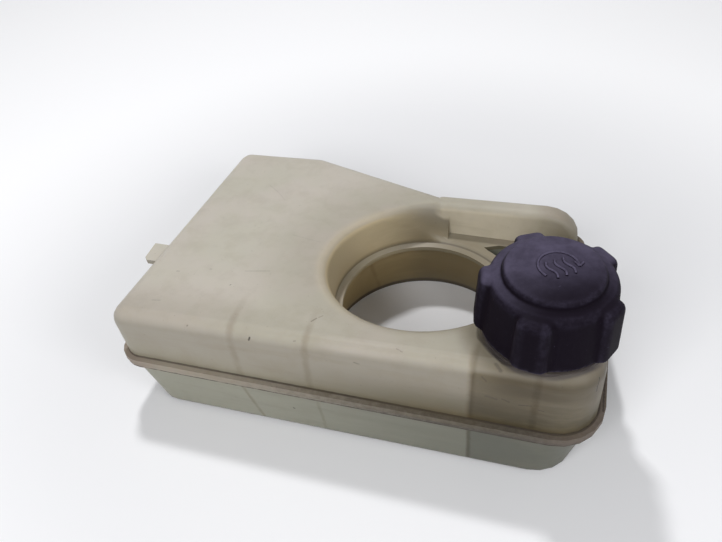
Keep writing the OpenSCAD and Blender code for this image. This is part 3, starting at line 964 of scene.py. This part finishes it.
@dataclass(frozen=True)
class Moulded:
    """Plain moulded plastic, rubber or metal with a fine grain and a dusting of dirt.

    Attributes:
        name: The material's name.
        colour: Its colour.
        dust: Colour of the dust that lies on it.
        roughness: Its roughness.
        metallic: 1 for metal.
        dusting: Share of the dust.
        texture: Strength of the grain.
        speck: Share of small pale specks.
        worn: Share of the dust on edges, for a piece that has the wear attribute.
        gloss: Its specular level.
        level: How level a face is before dust lies on it.
        dust_light_centre: A point behind and to the left of which the dust lies thicker, as dust and painted
            light on the cap's lit side; in front of it and to its right the dust is thinner.
    """

    name: str
    colour: Colour
    dust: Colour
    roughness: float
    metallic: float = 0.0
    dusting: float = 0.25
    texture: float = 0.2
    speck: float = 0.0
    worn: float = 0.0
    gloss: float = 0.4
    level: float = 0.1
    dust_light_centre: Flat | None = None

    # How dust, wear and grain lie on every surface of this kind.
    level_full = 0.985
    cloud_waves = (0.12, 4.0, 0.65)
    cloud_fade = (0.25, 0.75, 0.55, 1.0)
    dust_light_slant = (-0.45, 0.9)
    dust_light_fade = (-24.0, 13.0, 0.05, 1.60)
    wear_waves = (0.35, 4.0, 0.7)
    wear_fade = (0.35, 0.65, 0.3, 1.0)
    rough_share = 0.08
    bump_depth = 0.2

    def build(self) -> bpy.types.Material:
        """Builds the material.

        Returns:
            The finish's material.
        """
        material, graph, skin = Graph.material(self.name)
        place, facing = graph.millimetres()
        grain = Groups.use(graph, "grain", Place=place)
        lying = facing.ramp((self.level, self.level_full)) * self.dusting
        cloudy = graph.noise(place, self.cloud_waves).ramp(self.cloud_fade)
        # Dust and painted light: the dust lies thicker behind and to the left of the cap's axis, on its lit
        # side.
        if self.dust_light_centre is not None:
            x, y, _ = graph.split(place)
            across, deep = self.dust_light_slant
            behind = (y - self.dust_light_centre[1]) * deep + (x - self.dust_light_centre[0]) * across
            cloudy = cloudy * behind.ramp(self.dust_light_fade)
        colour = graph.mix(lying * cloudy, self.colour, self.dust)
        if self.worn:
            wear = graph.node("ShaderNodeAttribute", attribute_name=ScrewCap.wear_name)
            broken = graph.noise(place, self.wear_waves).ramp(self.wear_fade)
            colour = graph.mix(broken * wear.outputs["Fac"] * self.worn, colour, self.dust)
        specks = graph.math("MULTIPLY", grain.outputs["Specks"], self.speck)
        duller = graph.math("MULTIPLY", grain.outputs["Tone"], self.rough_share)
        graph.fill(skin, Base_Color=graph.mix(specks, colour, self.dust), Metallic=self.metallic,
                   Roughness=graph.math("ADD", self.roughness, duller, clamp=True),
                   Specular_IOR_Level=self.gloss)
        graph.bump(skin, grain.outputs["Height"], self.texture, self.bump_depth)
        return material


class Workshop:
    """Small mesh jobs that every sub-assembly needs.

    Attributes:
        join: How close points are joined, in millimetres.
        flat: Angle in degrees under which faces are one.
        steps: Steps over a rounding or a quarter of a wire.
        even_weight: How strongly large faces lead the shading.
    """

    join = 0.002
    flat = 0.4
    steps = 2
    even_weight = 60

    @staticmethod
    def link(name: str, mesh: bpy.types.Mesh, material: bpy.types.Material) -> bpy.types.Object:
        """Puts a mesh in the scene with a material.

        Args:
            name: The piece's name.
            mesh: Its mesh, in place.
            material: Its finish.

        Returns:
            The new object.
        """
        piece = bpy.data.objects.new(name, mesh)
        bpy.context.scene.collection.objects.link(piece)
        mesh.materials.clear()
        mesh.materials.append(material)
        return piece

    @staticmethod
    def merged(node: bpy.types.Object) -> bmesh.types.BMesh:
        """A node's mesh with its loose triangles joined and its flat faces whole.

        Args:
            node: The CAD node's object.

        Returns:
            The new bmesh.
        """
        work = bmesh.new()
        work.from_mesh(node.data)
        bmesh.ops.remove_doubles(work, verts=work.verts, dist=Workshop.join * MM)
        bmesh.ops.dissolve_limit(work, angle_limit=math.radians(Workshop.flat), verts=work.verts,
                                 edges=work.edges, delimit={"NORMAL"})
        return work

    @staticmethod
    def mesh(work: bmesh.types.BMesh, name: str) -> bpy.types.Mesh:
        """Turns a bmesh into a mesh.

        Args:
            work: The bmesh, which is freed.
            name: The mesh's name.

        Returns:
            The new mesh.
        """
        mesh = bpy.data.meshes.new(name)
        work.to_mesh(mesh)
        work.free()
        return mesh

    @staticmethod
    def finish(work: bmesh.types.BMesh, name: str, sharp: float) -> bpy.types.Mesh:
        """Turns a bmesh into a smooth mesh with its hard edges marked.

        Args:
            work: The bmesh, which is freed.
            name: The mesh's name.
            sharp: Angle in degrees past which an edge stays hard.

        Returns:
            The new mesh.
        """
        for face in work.faces:
            face.smooth = True
        limit = math.radians(sharp)
        for edge in work.edges:
            edge.smooth = len(edge.link_faces) == 2 and edge.calc_face_angle(0.0) < limit
        return Workshop.mesh(work, name)

    @staticmethod
    def soften(piece: bpy.types.Object, width: float, angle: float = 50.0) -> None:
        """Rounds a piece's hard edges and evens its shading.

        Args:
            piece: The piece.
            width: Width of the rounding in millimetres.
            angle: Angle in degrees past which an edge is rounded.
        """
        bevel = piece.modifiers.new("edge rounding", "BEVEL")
        bevel.width = width * MM
        bevel.segments = Workshop.steps
        bevel.limit_method = "ANGLE"
        bevel.angle_limit = math.radians(angle)
        bevel.use_clamp_overlap = True
        bevel.harden_normals = False
        even = piece.modifiers.new("even shading", "WEIGHTED_NORMAL")
        even.keep_sharp = True
        even.weight = Workshop.even_weight

    @staticmethod
    def applied(piece: bpy.types.Object, name: str) -> bpy.types.Mesh:
        """The mesh that a curve or a piece with modifiers comes to.

        Args:
            piece: The curve or piece, which is removed.
            name: The new mesh's name.

        Returns:
            The new mesh.
        """
        seen = piece.evaluated_get(bpy.context.evaluated_depsgraph_get())
        mesh = bpy.data.meshes.new_from_object(seen)
        mesh.name = name
        bpy.data.objects.remove(piece)
        return mesh

    @staticmethod
    def wires(name: str, lines: list[list[Vector]], radius: float, swell: list[list[float]],
              cyclic: bool = False) -> bpy.types.Mesh:
        """Round wires along lines of points.

        Args:
            name: The mesh's name.
            lines: The points of each wire, in metres.
            radius: The wires' radius in millimetres.
            swell: A factor on the radius at each point.
            cyclic: Joins each wire's ends.

        Returns:
            The wires' mesh.
        """
        data = bpy.data.curves.new(name, "CURVE")
        data.dimensions = "3D"
        data.bevel_depth = radius * MM
        data.bevel_resolution = Workshop.steps
        data.use_fill_caps = not cyclic
        for points, factors in zip(lines, swell):
            spline = data.splines.new("POLY")
            spline.points.add(len(points) - 1)
            spline.use_cyclic_u = cyclic
            for slot, point, factor in zip(spline.points, points, factors):
                slot.co = (*point, 1.0)
                slot.radius = factor
        curve = bpy.data.objects.new(name, data)
        bpy.context.scene.collection.objects.link(curve)
        mesh = Workshop.applied(curve, name)
        for polygon in mesh.polygons:
            polygon.use_smooth = True
        return mesh


@dataclass
class WeldedTank:
    """The tank's two halves, the bead that their weld squeezed out and the neck's thread."""

    frame: dict
    upper: AgedPlastic
    lower: AgedPlastic
    flash: Moulded
    sharp: float = 38.0
    rounding: float = 0.8
    bead_z: float = -0.4
    bead_radius: float = 0.5
    bead_step: float = 2.2
    bead_swell: tuple[float, float] = (0.45, 1.25)
    bead_calm: float = 0.6
    seed: int = 11
    plan: TankPlan = TankPlan()
    thread_start: float = 46.0
    thread_pitch: float = 4.0
    thread_turns: float = 4.0
    thread_height: float = 0.22
    thread_width: float = 1.7
    thread_steps: int = 48
    thread_join: float = 0.001

    def build(self) -> list[bpy.types.Object]:
        """Builds and dresses the tank.

        Returns:
            The tank's pieces.
        """
        upper = self.half("upper_shell", "upper_half", self.upper, Slot.UPPER)
        lower = self.half("lower_shell", "lower_half", self.lower, Slot.LOWER)
        return [upper, lower, self.bead(), self.thread(upper.data.materials[0])]

    def half(self, node: str, name: str, finish: AgedPlastic, slot: Slot) -> bpy.types.Object:
        """Dresses one half on its solid.

        Args:
            node: The half's node.
            name: The piece's name.
            finish: Its plastic.
            slot: Its material slot; not used.

        Returns:
            The dressed half.
        """
        work = Workshop.merged(self.frame["nodes"][node])
        mesh = Workshop.finish(work, name, self.sharp)
        piece = Workshop.link(name, mesh, finish.build())
        Workshop.soften(piece, self.rounding)
        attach(piece, Body.TANK.value)
        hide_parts(node)
        return piece

    def seam(self) -> list[Vector]:
        """The flange's outer edge at the bead's height.

        Returns:
            A closed line of points in metres.
        """
        work = Workshop.merged(self.frame["nodes"]["lower_shell"])
        everything = work.verts[:] + work.edges[:] + work.faces[:]
        bmesh.ops.bisect_plane(work, geom=everything, plane_co=(0.0, 0.0, self.bead_z * MM),
                               plane_no=(0.0, 0.0, 1.0), clear_inner=True, clear_outer=True)
        work.edges.index_update()
        rest = {edge.index: edge for edge in work.edges}
        loops = []
        while rest:
            edge = rest.pop(min(rest))
            first, at = edge.verts
            line = [first.co.copy(), at.co.copy()]
            while at != first:
                ahead = [near for near in at.link_edges if near.index in rest]
                if not ahead:
                    break
                rest.pop(ahead[0].index)
                at = ahead[0].other_vert(at)
                line.append(at.co.copy())
            loops.append(line)
        work.free()
        return max(loops, key=lambda line: sum((b - a).length for a, b in zip(line, line[1:])))

    def bead(self) -> bpy.types.Object:
        """The thin, uneven ridge of plastic along the flange's edge.

        Returns:
            The bead.
        """
        line = self.seam()
        step = self.bead_step * MM
        points = [line[0]]
        due = step
        for a, b in zip(line, line[1:]):
            length = (b - a).length
            while due <= length:
                points.append(a.lerp(b, due / length))
                due += step
            due -= length
        draw = random.Random(self.seed)
        factor = 1.0
        swell = []
        for _ in points:
            factor = self.bead_calm * factor + (1 - self.bead_calm) * draw.uniform(*self.bead_swell)
            swell.append(factor)
        mesh = Workshop.wires("weld_bead", [points], self.bead_radius, [swell], cyclic=True)
        piece = Workshop.link("weld_bead", mesh, self.flash.build())
        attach(piece, Body.TANK.value)
        return piece

    def thread(self, plastic: bpy.types.Material) -> bpy.types.Object:
        """The fine thread on the filler neck, a low ridge that the cap's insert clears.

        Args:
            plastic: The upper half's plastic.

        Returns:
            The thread.
        """
        work = bmesh.new()
        x, y = self.plan.neck_x, self.plan.neck_y
        half = self.thread_width / 2
        crest_half = half / 3
        crest = self.plan.neck_radius + self.thread_height
        root = self.plan.neck_radius - self.thread_height
        profile = [(root, -half), (crest, -crest_half), (crest, crest_half), (root, half)]
        corners = [work.verts.new(((x + r) * MM, y * MM, (self.thread_start + z) * MM)) for r, z in profile]
        face = work.faces.new(corners)
        steps = round(self.thread_turns * self.thread_steps)
        bmesh.ops.spin(work, geom=[face, *face.edges, *face.verts], cent=(x * MM, y * MM, 0.0),
                       axis=(0.0, 0.0, 1.0), dvec=(0.0, 0.0, self.thread_pitch / self.thread_steps * MM),
                       angle=math.tau * self.thread_turns, steps=steps, use_duplicate=False)
        bmesh.ops.remove_doubles(work, verts=work.verts, dist=self.thread_join * MM)
        bmesh.ops.recalc_face_normals(work, faces=work.faces)
        piece = Workshop.link("neck_thread", Workshop.finish(work, "neck_thread", self.sharp), plastic)
        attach(piece, Body.TANK.value)
        return piece


@dataclass(frozen=True)
class Coil:
    """A coil spring of the cap's valve and the two bodies it sits between.

    Attributes:
        node: The CAD node that it stands for.
        name: The piece's name.
        foot: The body under it; not used.
        head: The body over it; not used.
    """

    node: str
    name: str
    foot: Body
    head: Body


@dataclass
class ScrewCap:
    """The five-lobed grip of the cap, its raised sign and the pieces inside it."""

    frame: dict
    grip: Moulded
    insert: Moulded
    rubber: Moulded
    steel: Moulded
    brass: Moulded
    voxel: float = 0.8
    smoothing: int = 3
    smooth_share: float = 0.5
    wear_gain: float = 5.0
    sign_at: Flat = (71.0, -42.2)
    sign_turn: float = 34.0
    sign_radius: float = 9.2
    sign_arc: tuple[float, float] = (205.0, -25.0)
    sign_steps: int = 16
    sign_head: float = 3.4
    sign_spread: float = 35.0
    sign_ribs: tuple[float, ...] = (-4.4, 0.0, 4.4)
    sign_rib: tuple[float, float] = (-7.2, 3.6)
    sign_rib_steps: int = 8
    sign_wave: float = 1.0
    sign_wire: float = 0.7
    sign_rub: float = 1.8
    springs: tuple[Coil, ...] = (
        Coil("pressure_spring", "pressure_coil", Body.PLATE, Body.PLUG),
        Coil("vacuum_spring", "vacuum_coil", Body.PLATE, Body.POPPET),
    )
    spring_end: float = 0.08
    spring_sharp: float = 60.0

    wear_name = "wear"

    def build(self) -> list[bpy.types.Object]:
        """Builds the grip and its sign, and dresses the inner pieces.

        Returns:
            The cap's pieces.
        """
        plastic = self.grip.build()
        work = self.rounded()
        tree = BVHTree.FromBMesh(work)
        grip = Workshop.link("lobed_grip", self.with_wear(work), plastic)
        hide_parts("cap_grip")
        sign = Workshop.link("turning_sign", self.sign(tree), plastic)
        for piece in (grip, sign):
            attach(piece, Body.CAP.value)
        self.dress(self.insert, "thread_insert", "valve_cup", "spring_retainer")
        self.dress(self.rubber, "rim_gasket", "plug_ring", "pressure_seal", "vacuum_seal")
        self.dress(self.brass, "vacuum_poppet", "vacuum_clip")
        steel = self.dress(self.steel, "pressure_plate")
        return [grip, sign, *(self.coil(spring, steel) for spring in self.springs)]

    def rounded(self) -> bmesh.types.BMesh:
        """The grip's form with its edges worn round.

        Returns:
            The new bmesh.
        """
        work = Workshop.merged(self.frame["nodes"]["cap_grip"])
        bmesh.ops.triangulate(work, faces=work.faces)
        form = bpy.data.objects.new("grip form", Workshop.mesh(work, "grip form"))
        bpy.context.scene.collection.objects.link(form)
        remesh = form.modifiers.new("even mesh", "REMESH")
        remesh.mode = "VOXEL"
        remesh.voxel_size = self.voxel * MM
        work = bmesh.new()
        work.from_mesh(Workshop.applied(form, "lobed_grip"))
        for _ in range(self.smoothing):
            bmesh.ops.smooth_vert(work, verts=work.verts, factor=self.smooth_share, use_axis_x=True,
                                  use_axis_y=True, use_axis_z=True)
        work.normal_update()
        return work

    def with_wear(self, work: bmesh.types.BMesh) -> bpy.types.Mesh:
        """The grip's mesh with an attribute that is 1 on its sharpest outer edges.

        Args:
            work: The bmesh, which is freed.

        Returns:
            The new mesh.
        """
        layer = work.verts.layers.float.new(self.wear_name)
        for vert in work.verts:
            around = [edge.other_vert(vert).co for edge in vert.link_edges]
            middle = sum(around, Vector()) / max(len(around), 1)
            bulge = (vert.co - middle).dot(vert.normal) / (self.voxel * MM)
            vert[layer] = min(max(bulge * self.wear_gain, 0.0), 1.0)
        for face in work.faces:
            face.smooth = True
        return Workshop.mesh(work, "lobed_grip")

    def sign(self, tree: BVHTree) -> bpy.types.Mesh:
        """A plain raised sign on the disc: a turning arrow over three wavy ribs.

        Args:
            tree: The grip's faces.

        Returns:
            The sign's mesh.
        """
        turn = Matrix.Rotation(math.radians(self.sign_turn), 2)

        def on_disc(x: float, y: float) -> Vector:
            """Puts a place of the sign on the disc's skin.

            Args:
                x: Its X on the sign in millimetres.
                y: Its Y on the sign in millimetres.

            Returns:
                The place on the skin in metres.
            """
            at = (turn @ Vector((x, y)) + Vector(self.sign_at)) * MM
            above = Vector((at.x, at.y, 1.0))
            return tree.ray_cast(above, Vector((0.0, 0.0, -1.0)))[0]

        start, end = (math.radians(a) for a in self.sign_arc)
        angles = [start + (end - start) * k / self.sign_steps for k in range(self.sign_steps + 1)]
        radius = self.sign_radius
        lines = [[on_disc(radius * math.cos(a), radius * math.sin(a)) for a in angles]]
        tip = Vector((radius * math.cos(end), radius * math.sin(end)))
        for side in (-1.0, 1.0):
            heading = end + math.radians(90.0 + side * self.sign_spread)
            tail = tip + Vector((math.cos(heading), math.sin(heading))) * self.sign_head
            lines.append([on_disc(*tip), on_disc(*tail.lerp(tip, 0.5)), on_disc(*tail)])
        low, high = self.sign_rib
        shares = [k / self.sign_rib_steps for k in range(self.sign_rib_steps + 1)]
        for x in self.sign_ribs:
            lines.append([on_disc(x + self.sign_wave * math.sin(math.tau * s), low + (high - low) * s)
                          for s in shares])
        mesh = Workshop.wires("turning_sign", lines, self.sign_wire, [[1.0] * len(line) for line in lines])
        rubbed = mesh.attributes.new(self.wear_name, "FLOAT", "POINT")
        for vert in mesh.vertices:
            rubbed.data[vert.index].value = self.sign_rub * max(vert.normal.z, 0.0)
        return mesh

    def coil(self, spring: Coil, steel: bpy.types.Material) -> bpy.types.Object:
        """The spring's piece, built on its node's solid, which is hidden.

        Args:
            spring: Which spring.
            steel: Its finish.

        Returns:
            The spring's piece.
        """
        work = Workshop.merged(self.frame["nodes"][spring.node])
        piece = Workshop.link(spring.name, Workshop.finish(work, spring.name, self.spring_sharp), steel)
        low, high = (Vector(corner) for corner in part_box(spring.node))
        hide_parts(spring.node)
        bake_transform(piece)
        return piece

    def dress(self, finish: Moulded, *nodes: str) -> bpy.types.Material:
        """Gives nodes of the frame their finish.

        Args:
            finish: The finish.
            nodes: The nodes' names.

        Returns:
            The finish's material.
        """
        material = finish.build()
        for name in nodes:
            mesh = self.frame["nodes"][name].data
            mesh.materials.clear()
            mesh.materials.append(material)
        return material


@dataclass(frozen=True)
class Studio:
    """The camera at the photograph's place, the pale floor and the soft lamps."""

    camera_at: Point = (63.47, -289.27, 302.91)
    look: Point = (-0.24077, 0.69174, -0.68083)
    right: Point = (0.96057, 0.27032, -0.06504)
    lens: float = 35.68
    sensor: float = 36.0
    near: float = 10.0
    floor_z: float = -38.5
    floor_half: float = 3000.0
    floor_colour: Colour = (0.885, 0.89, 0.915)
    floor_glow: float = 0.22
    floor_rough: float = 0.7
    floor_gloss: float = 0.2
    floor_near: float = 190.0
    floor_far: float = 420.0
    sky: float = 0.22
    key_turn: float = 128.0
    key_rise: float = 66.0
    key_far: float = 1300.0
    key_size: float = 110.0
    key_power: float = 6.8
    fill_at: Point = (460.0, -300.0, 420.0)
    fill_size: float = 260.0
    fill_power: float = 1.2
    front_at: Point = (-260.0, -950.0, 760.0)
    front_size: float = 500.0
    front_power: float = 6.5

    def build(self) -> None:
        """Sets up the camera, floor, world and lamps."""
        self.add_camera()
        self.add_floor()
        self.add_world()
        turn, rise = math.radians(self.key_turn), math.radians(self.key_rise)
        key = Vector((math.cos(turn) * math.cos(rise), math.sin(turn) * math.cos(rise), math.sin(rise)))
        key *= self.key_far
        self.add_lamp("key lamp", tuple(key), self.key_size, self.key_power)
        self.add_lamp("fill lamp", self.fill_at, self.fill_size, self.fill_power)
        self.add_lamp("front lamp", self.front_at, self.front_size, self.front_power)
        bpy.context.scene.view_settings.view_transform = "Standard"

    def add_camera(self) -> None:
        """Places the camera."""
        right = Vector(self.right).normalized()
        back = -Vector(self.look).normalized()
        up = back.cross(right).normalized()
        right = up.cross(back).normalized()
        data = bpy.data.cameras.new("camera")
        data.sensor_width = self.sensor
        data.sensor_fit = "HORIZONTAL"
        data.lens = self.lens
        data.clip_start = self.near * MM
        camera = bpy.data.objects.new("camera", data)
        turn = Matrix((right, up, back)).transposed().to_4x4()
        camera.matrix_world = Matrix.Translation(Vector(self.camera_at) * MM) @ turn
        bpy.context.scene.collection.objects.link(camera)
        bpy.context.scene.camera = camera

    def add_floor(self) -> None:
        """Lays the plain pale floor under the tank, which turns white further off."""
        work = bmesh.new()
        bmesh.ops.create_grid(work, x_segments=1, y_segments=1, size=self.floor_half * MM)
        bmesh.ops.translate(work, verts=work.verts, vec=Vector((0, 0, self.floor_z * MM)))
        material, graph, skin = Graph.material("pale floor")
        place, _ = graph.millimetres()
        away = Number(graph, graph.vector("LENGTH", place, None).outputs["Value"])
        path = graph.node("ShaderNodeLightPath")
        glow = away.ramp((self.floor_near, self.floor_far)) * path.outputs["Is Camera Ray"] * self.floor_glow
        graph.fill(skin, Base_Color=rgba(self.floor_colour), Roughness=self.floor_rough,
                   Specular_IOR_Level=self.floor_gloss, Emission_Color=rgba(WHITE), Emission_Strength=glow)
        floor = Workshop.link("floor", Workshop.mesh(work, "floor"), material)

    def add_world(self) -> None:
        """Lights the scene evenly, and shows white behind it."""
        world = bpy.data.worlds.new("studio")
        bpy.context.scene.world = world
        world.use_nodes = True
        graph = Graph(world.node_tree)
        sky = world.node_tree.nodes["Background"]
        path = graph.node("ShaderNodeLightPath")
        seen = graph.math("MAXIMUM", path.outputs["Is Camera Ray"], path.outputs["Is Glossy Ray"])
        seen = seen.most(path.outputs["Is Transmission Ray"])
        graph.fill(sky, Color=rgba(WHITE), Strength=seen.ramp((0.0, 1.0, self.sky, 1.0)))

    @staticmethod
    def add_lamp(name: str, at: Point, size: float, power: float) -> None:
        """Adds a square lamp that faces the tank.

        Args:
            name: The lamp's name.
            at: Its place in millimetres.
            size: Its side in millimetres.
            power: Its power in watts.
        """
        data = bpy.data.lights.new(name, "AREA")
        data.shape = "SQUARE"
        data.size = size * MM
        data.energy = power
        lamp = bpy.data.objects.new(name, data)
        place = Vector(at) * MM
        lamp.matrix_world = Matrix.Translation(place) @ (-place).to_track_quat("-Z", "Y").to_matrix().to_4x4()
        bpy.context.scene.collection.objects.link(lamp)


UPPER_BAFFLES = (
    Baffle(-83.6, -0.06, -0.05, -47.0, 1.7, 0.34),
    Baffle(-44.4, 0.0, -0.04, -48.0, 1.6, 0.34),
    Baffle(39.4, 0.0, -0.02, -58.0, 1.5, 0.55),
    Baffle(69.8, 0.0, 0.0, -70.0, 1.5, 0.75),
)

UPPER_MARKS = (
    Mark((-97.0, -27.0, 31.6), (-82.9, -24.2, 31.8), 0.35, 0.40),
    Mark((-137.3, -61.3, 33.8), (-132.5, -60.5, 33.8), 0.35, 0.45),
    Mark((-100.1, -40.6, 32.9), (-99.8, -40.2, 32.9), 0.5, 0.7),
    Mark((-136.2, -34.6, 31.1), (-134.8, -34.4, 31.1), 0.6, 0.4),
    Mark((-117.9, -29.1, 31.1), (-116.9, -29.0, 31.1), 0.5, 0.4),
    Mark((-119.4, 66.1, 21.2), (-110.0, 58.0, 22.3), 0.5, 0.14),
    Mark((-110.0, 58.0, 22.3), (-102.2, 49.6, 23.5), 0.5, 0.12),
    Mark((-82.6, 12.3, 28.0), (-64.0, 8.2, 29.0), 0.5, 0.12),
    Mark((-74.7, -75.6, 32.2), (-74.3, -75.0, 33.3), 0.8, 1.0),
    Mark((-110.1, -74.2, 33.0), (-109.8, -74.0, 33.4), 0.6, 0.5),
    Mark((-50.4, -73.9, 35.4), (-49.6, -73.8, 35.5), 0.6, 0.35),
    Mark((-58.0, -74.0, 38.5), (-50.0, -74.0, 39.2), 1.2, 0.20),
    Mark((-45.4, -60.3, 36.6), (-43.6, -57.6, 36.5), 0.6, 0.55),
    Mark((-42.6, -56.6, 36.4), (-41.0, -55.0, 36.4), 0.5, 0.35),
    Mark((2.0, -70.5, 38.5), (5.0, -71.5, 38.2), 0.55, 0.7),
    Mark((-18.5, -77.0, 30.4), (-16.0, -77.0, 29.8), 0.8, 0.6),
    Mark((44.2, -76.0, 35.6), (46.2, -76.4, 33.6), 0.7, 0.40),
    Mark((46.9, -76.8, 23.0), (51.7, -76.9, 22.1), 1.1, 0.35),
    Mark((54.4, -76.9, 22.9), (57.8, -76.9, 21.6), 0.7, 0.45),
    Mark((62.6, -76.9, 20.7), (68.1, -76.9, 21.6), 0.7, 0.50),
    Mark((71.5, -76.9, 19.6), (74.3, -76.9, 19.3), 0.5, 0.60),
    Mark((49.7, -70.8, 40.3), (52.4, -73.4, 39.1), 1.3, 0.50),
    Mark((96.3, -65.6, 36.7), (96.0, -67.9, 33.5), 0.6, 1.0),
    Mark((96.0, -67.9, 33.5), (96.2, -68.0, 29.9), 0.7, 1.0),
    Mark((103.0, -58.0, 3.2), (103.0, -36.0, 3.2), 0.8, 1.0),
    Mark((-2.4, 61.2, 27.0), (-1.4, 60.4, 22.5), 1.2, 0.40),
    Mark((78.0, 61.2, 24.5), (79.5, 62.5, 24.0), 0.9, 0.8),
)

AGED_UPPER = AgedPlastic(
    name="aged plastic, upper half",
    top=(0.53, 0.487, 0.430),
    top_green=(0.505, 0.478, 0.405),
    wall=(0.335, 0.307, 0.255),
    wall_low=(0.315, 0.290, 0.222),
    shade=(0.41, 0.375, 0.305),
    low_shade=(0.45, 0.43, 0.36),
    fin=(0.60, 0.545, 0.43),
    collar=(0.052, 0.043, 0.048),
    hole=(0.47, 0.390, 0.250),
    hole_deep=(0.42, 0.325, 0.180),
    rim=(0.335, 0.295, 0.240),
    rim_stain_and_shade=(0.068, 0.058, 0.047),
    rim_end=(0.235, 0.180, 0.155),
    line=(0.20, 0.155, 0.085),
    grime_and_shade=(0.045, 0.035, 0.028),
    baffles=UPPER_BAFFLES,
    marks=UPPER_MARKS,
    root_line=0.9,
)

LOWER_BAFFLES = (
    Baffle(-87.1, -0.283, 0.0, 200.0, 0.9, 0.55),
    Baffle(-42.3, -0.075, 0.0, 200.0, 0.8, 0.35),
    Baffle(39.3, -0.02, 0.0, 200.0, 1.0, 0.70),
)

AGED_LOWER = replace(
    AGED_UPPER,
    name="aged plastic, lower half",
    top=(0.44, 0.42, 0.355),
    top_green=(0.42, 0.41, 0.335),
    wall=(0.315, 0.305, 0.252),
    wall_low=(0.300, 0.296, 0.240),
    shade=(0.62, 0.63, 0.63),
    low_shade=(0.60, 0.61, 0.60),
    fin=(0.40, 0.37, 0.30),
    hole=(0.43, 0.325, 0.160),
    hole_deep=(0.33, 0.245, 0.115),
    line=(0.17, 0.155, 0.115),
    baffles=LOWER_BAFFLES,
    marks=(Mark((-57.0, -76.3, -19.0), (-56.6, -76.3, -19.6), 0.8, 0.7),),
    root_line=0.0,
    edge_line=0.85,
)


def main() -> None:
    """Builds the tank, its cap and the studio in order."""
    logging.basicConfig(level=logging.INFO, format="%(name)s: %(message)s")
    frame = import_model()
    Studio().build()
    pieces = WeldedTank(
        frame, AGED_UPPER, AGED_LOWER,
        flash=Moulded("weld flash", (0.24, 0.20, 0.155), (0.08, 0.06, 0.045), 0.6, dusting=0.5, texture=0.5,
                      speck=0.5),
    ).build()
    pieces += ScrewCap(
        frame,
        grip=Moulded("cap plastic", (0.0045, 0.0025, 0.0060), (0.098, 0.086, 0.138), 0.60, dusting=0.55,
                     texture=0.3, speck=0.2, worn=0.6, gloss=0.055, level=0.50,
                     dust_light_centre=(TankPlan.neck_x, TankPlan.neck_y)),
        insert=Moulded("insert plastic", (0.03, 0.03, 0.033), (0.10, 0.10, 0.10), 0.45, dusting=0.1),
        rubber=Moulded("seal rubber", (0.015, 0.015, 0.015), (0.06, 0.06, 0.06), 0.7, dusting=0.1),
        steel=Moulded("spring steel", (0.60, 0.60, 0.62), (0.35, 0.34, 0.32), 0.3, metallic=1.0, dusting=0.1),
        brass=Moulded("valve brass", (0.62, 0.48, 0.22), (0.35, 0.28, 0.16), 0.32, metallic=1.0, dusting=0.1),
    ).build()
    for piece in pieces:
        LOG.info("piece %s: %d faces", piece.name, len(piece.data.polygons))


if __name__ == "__main__":
    main()
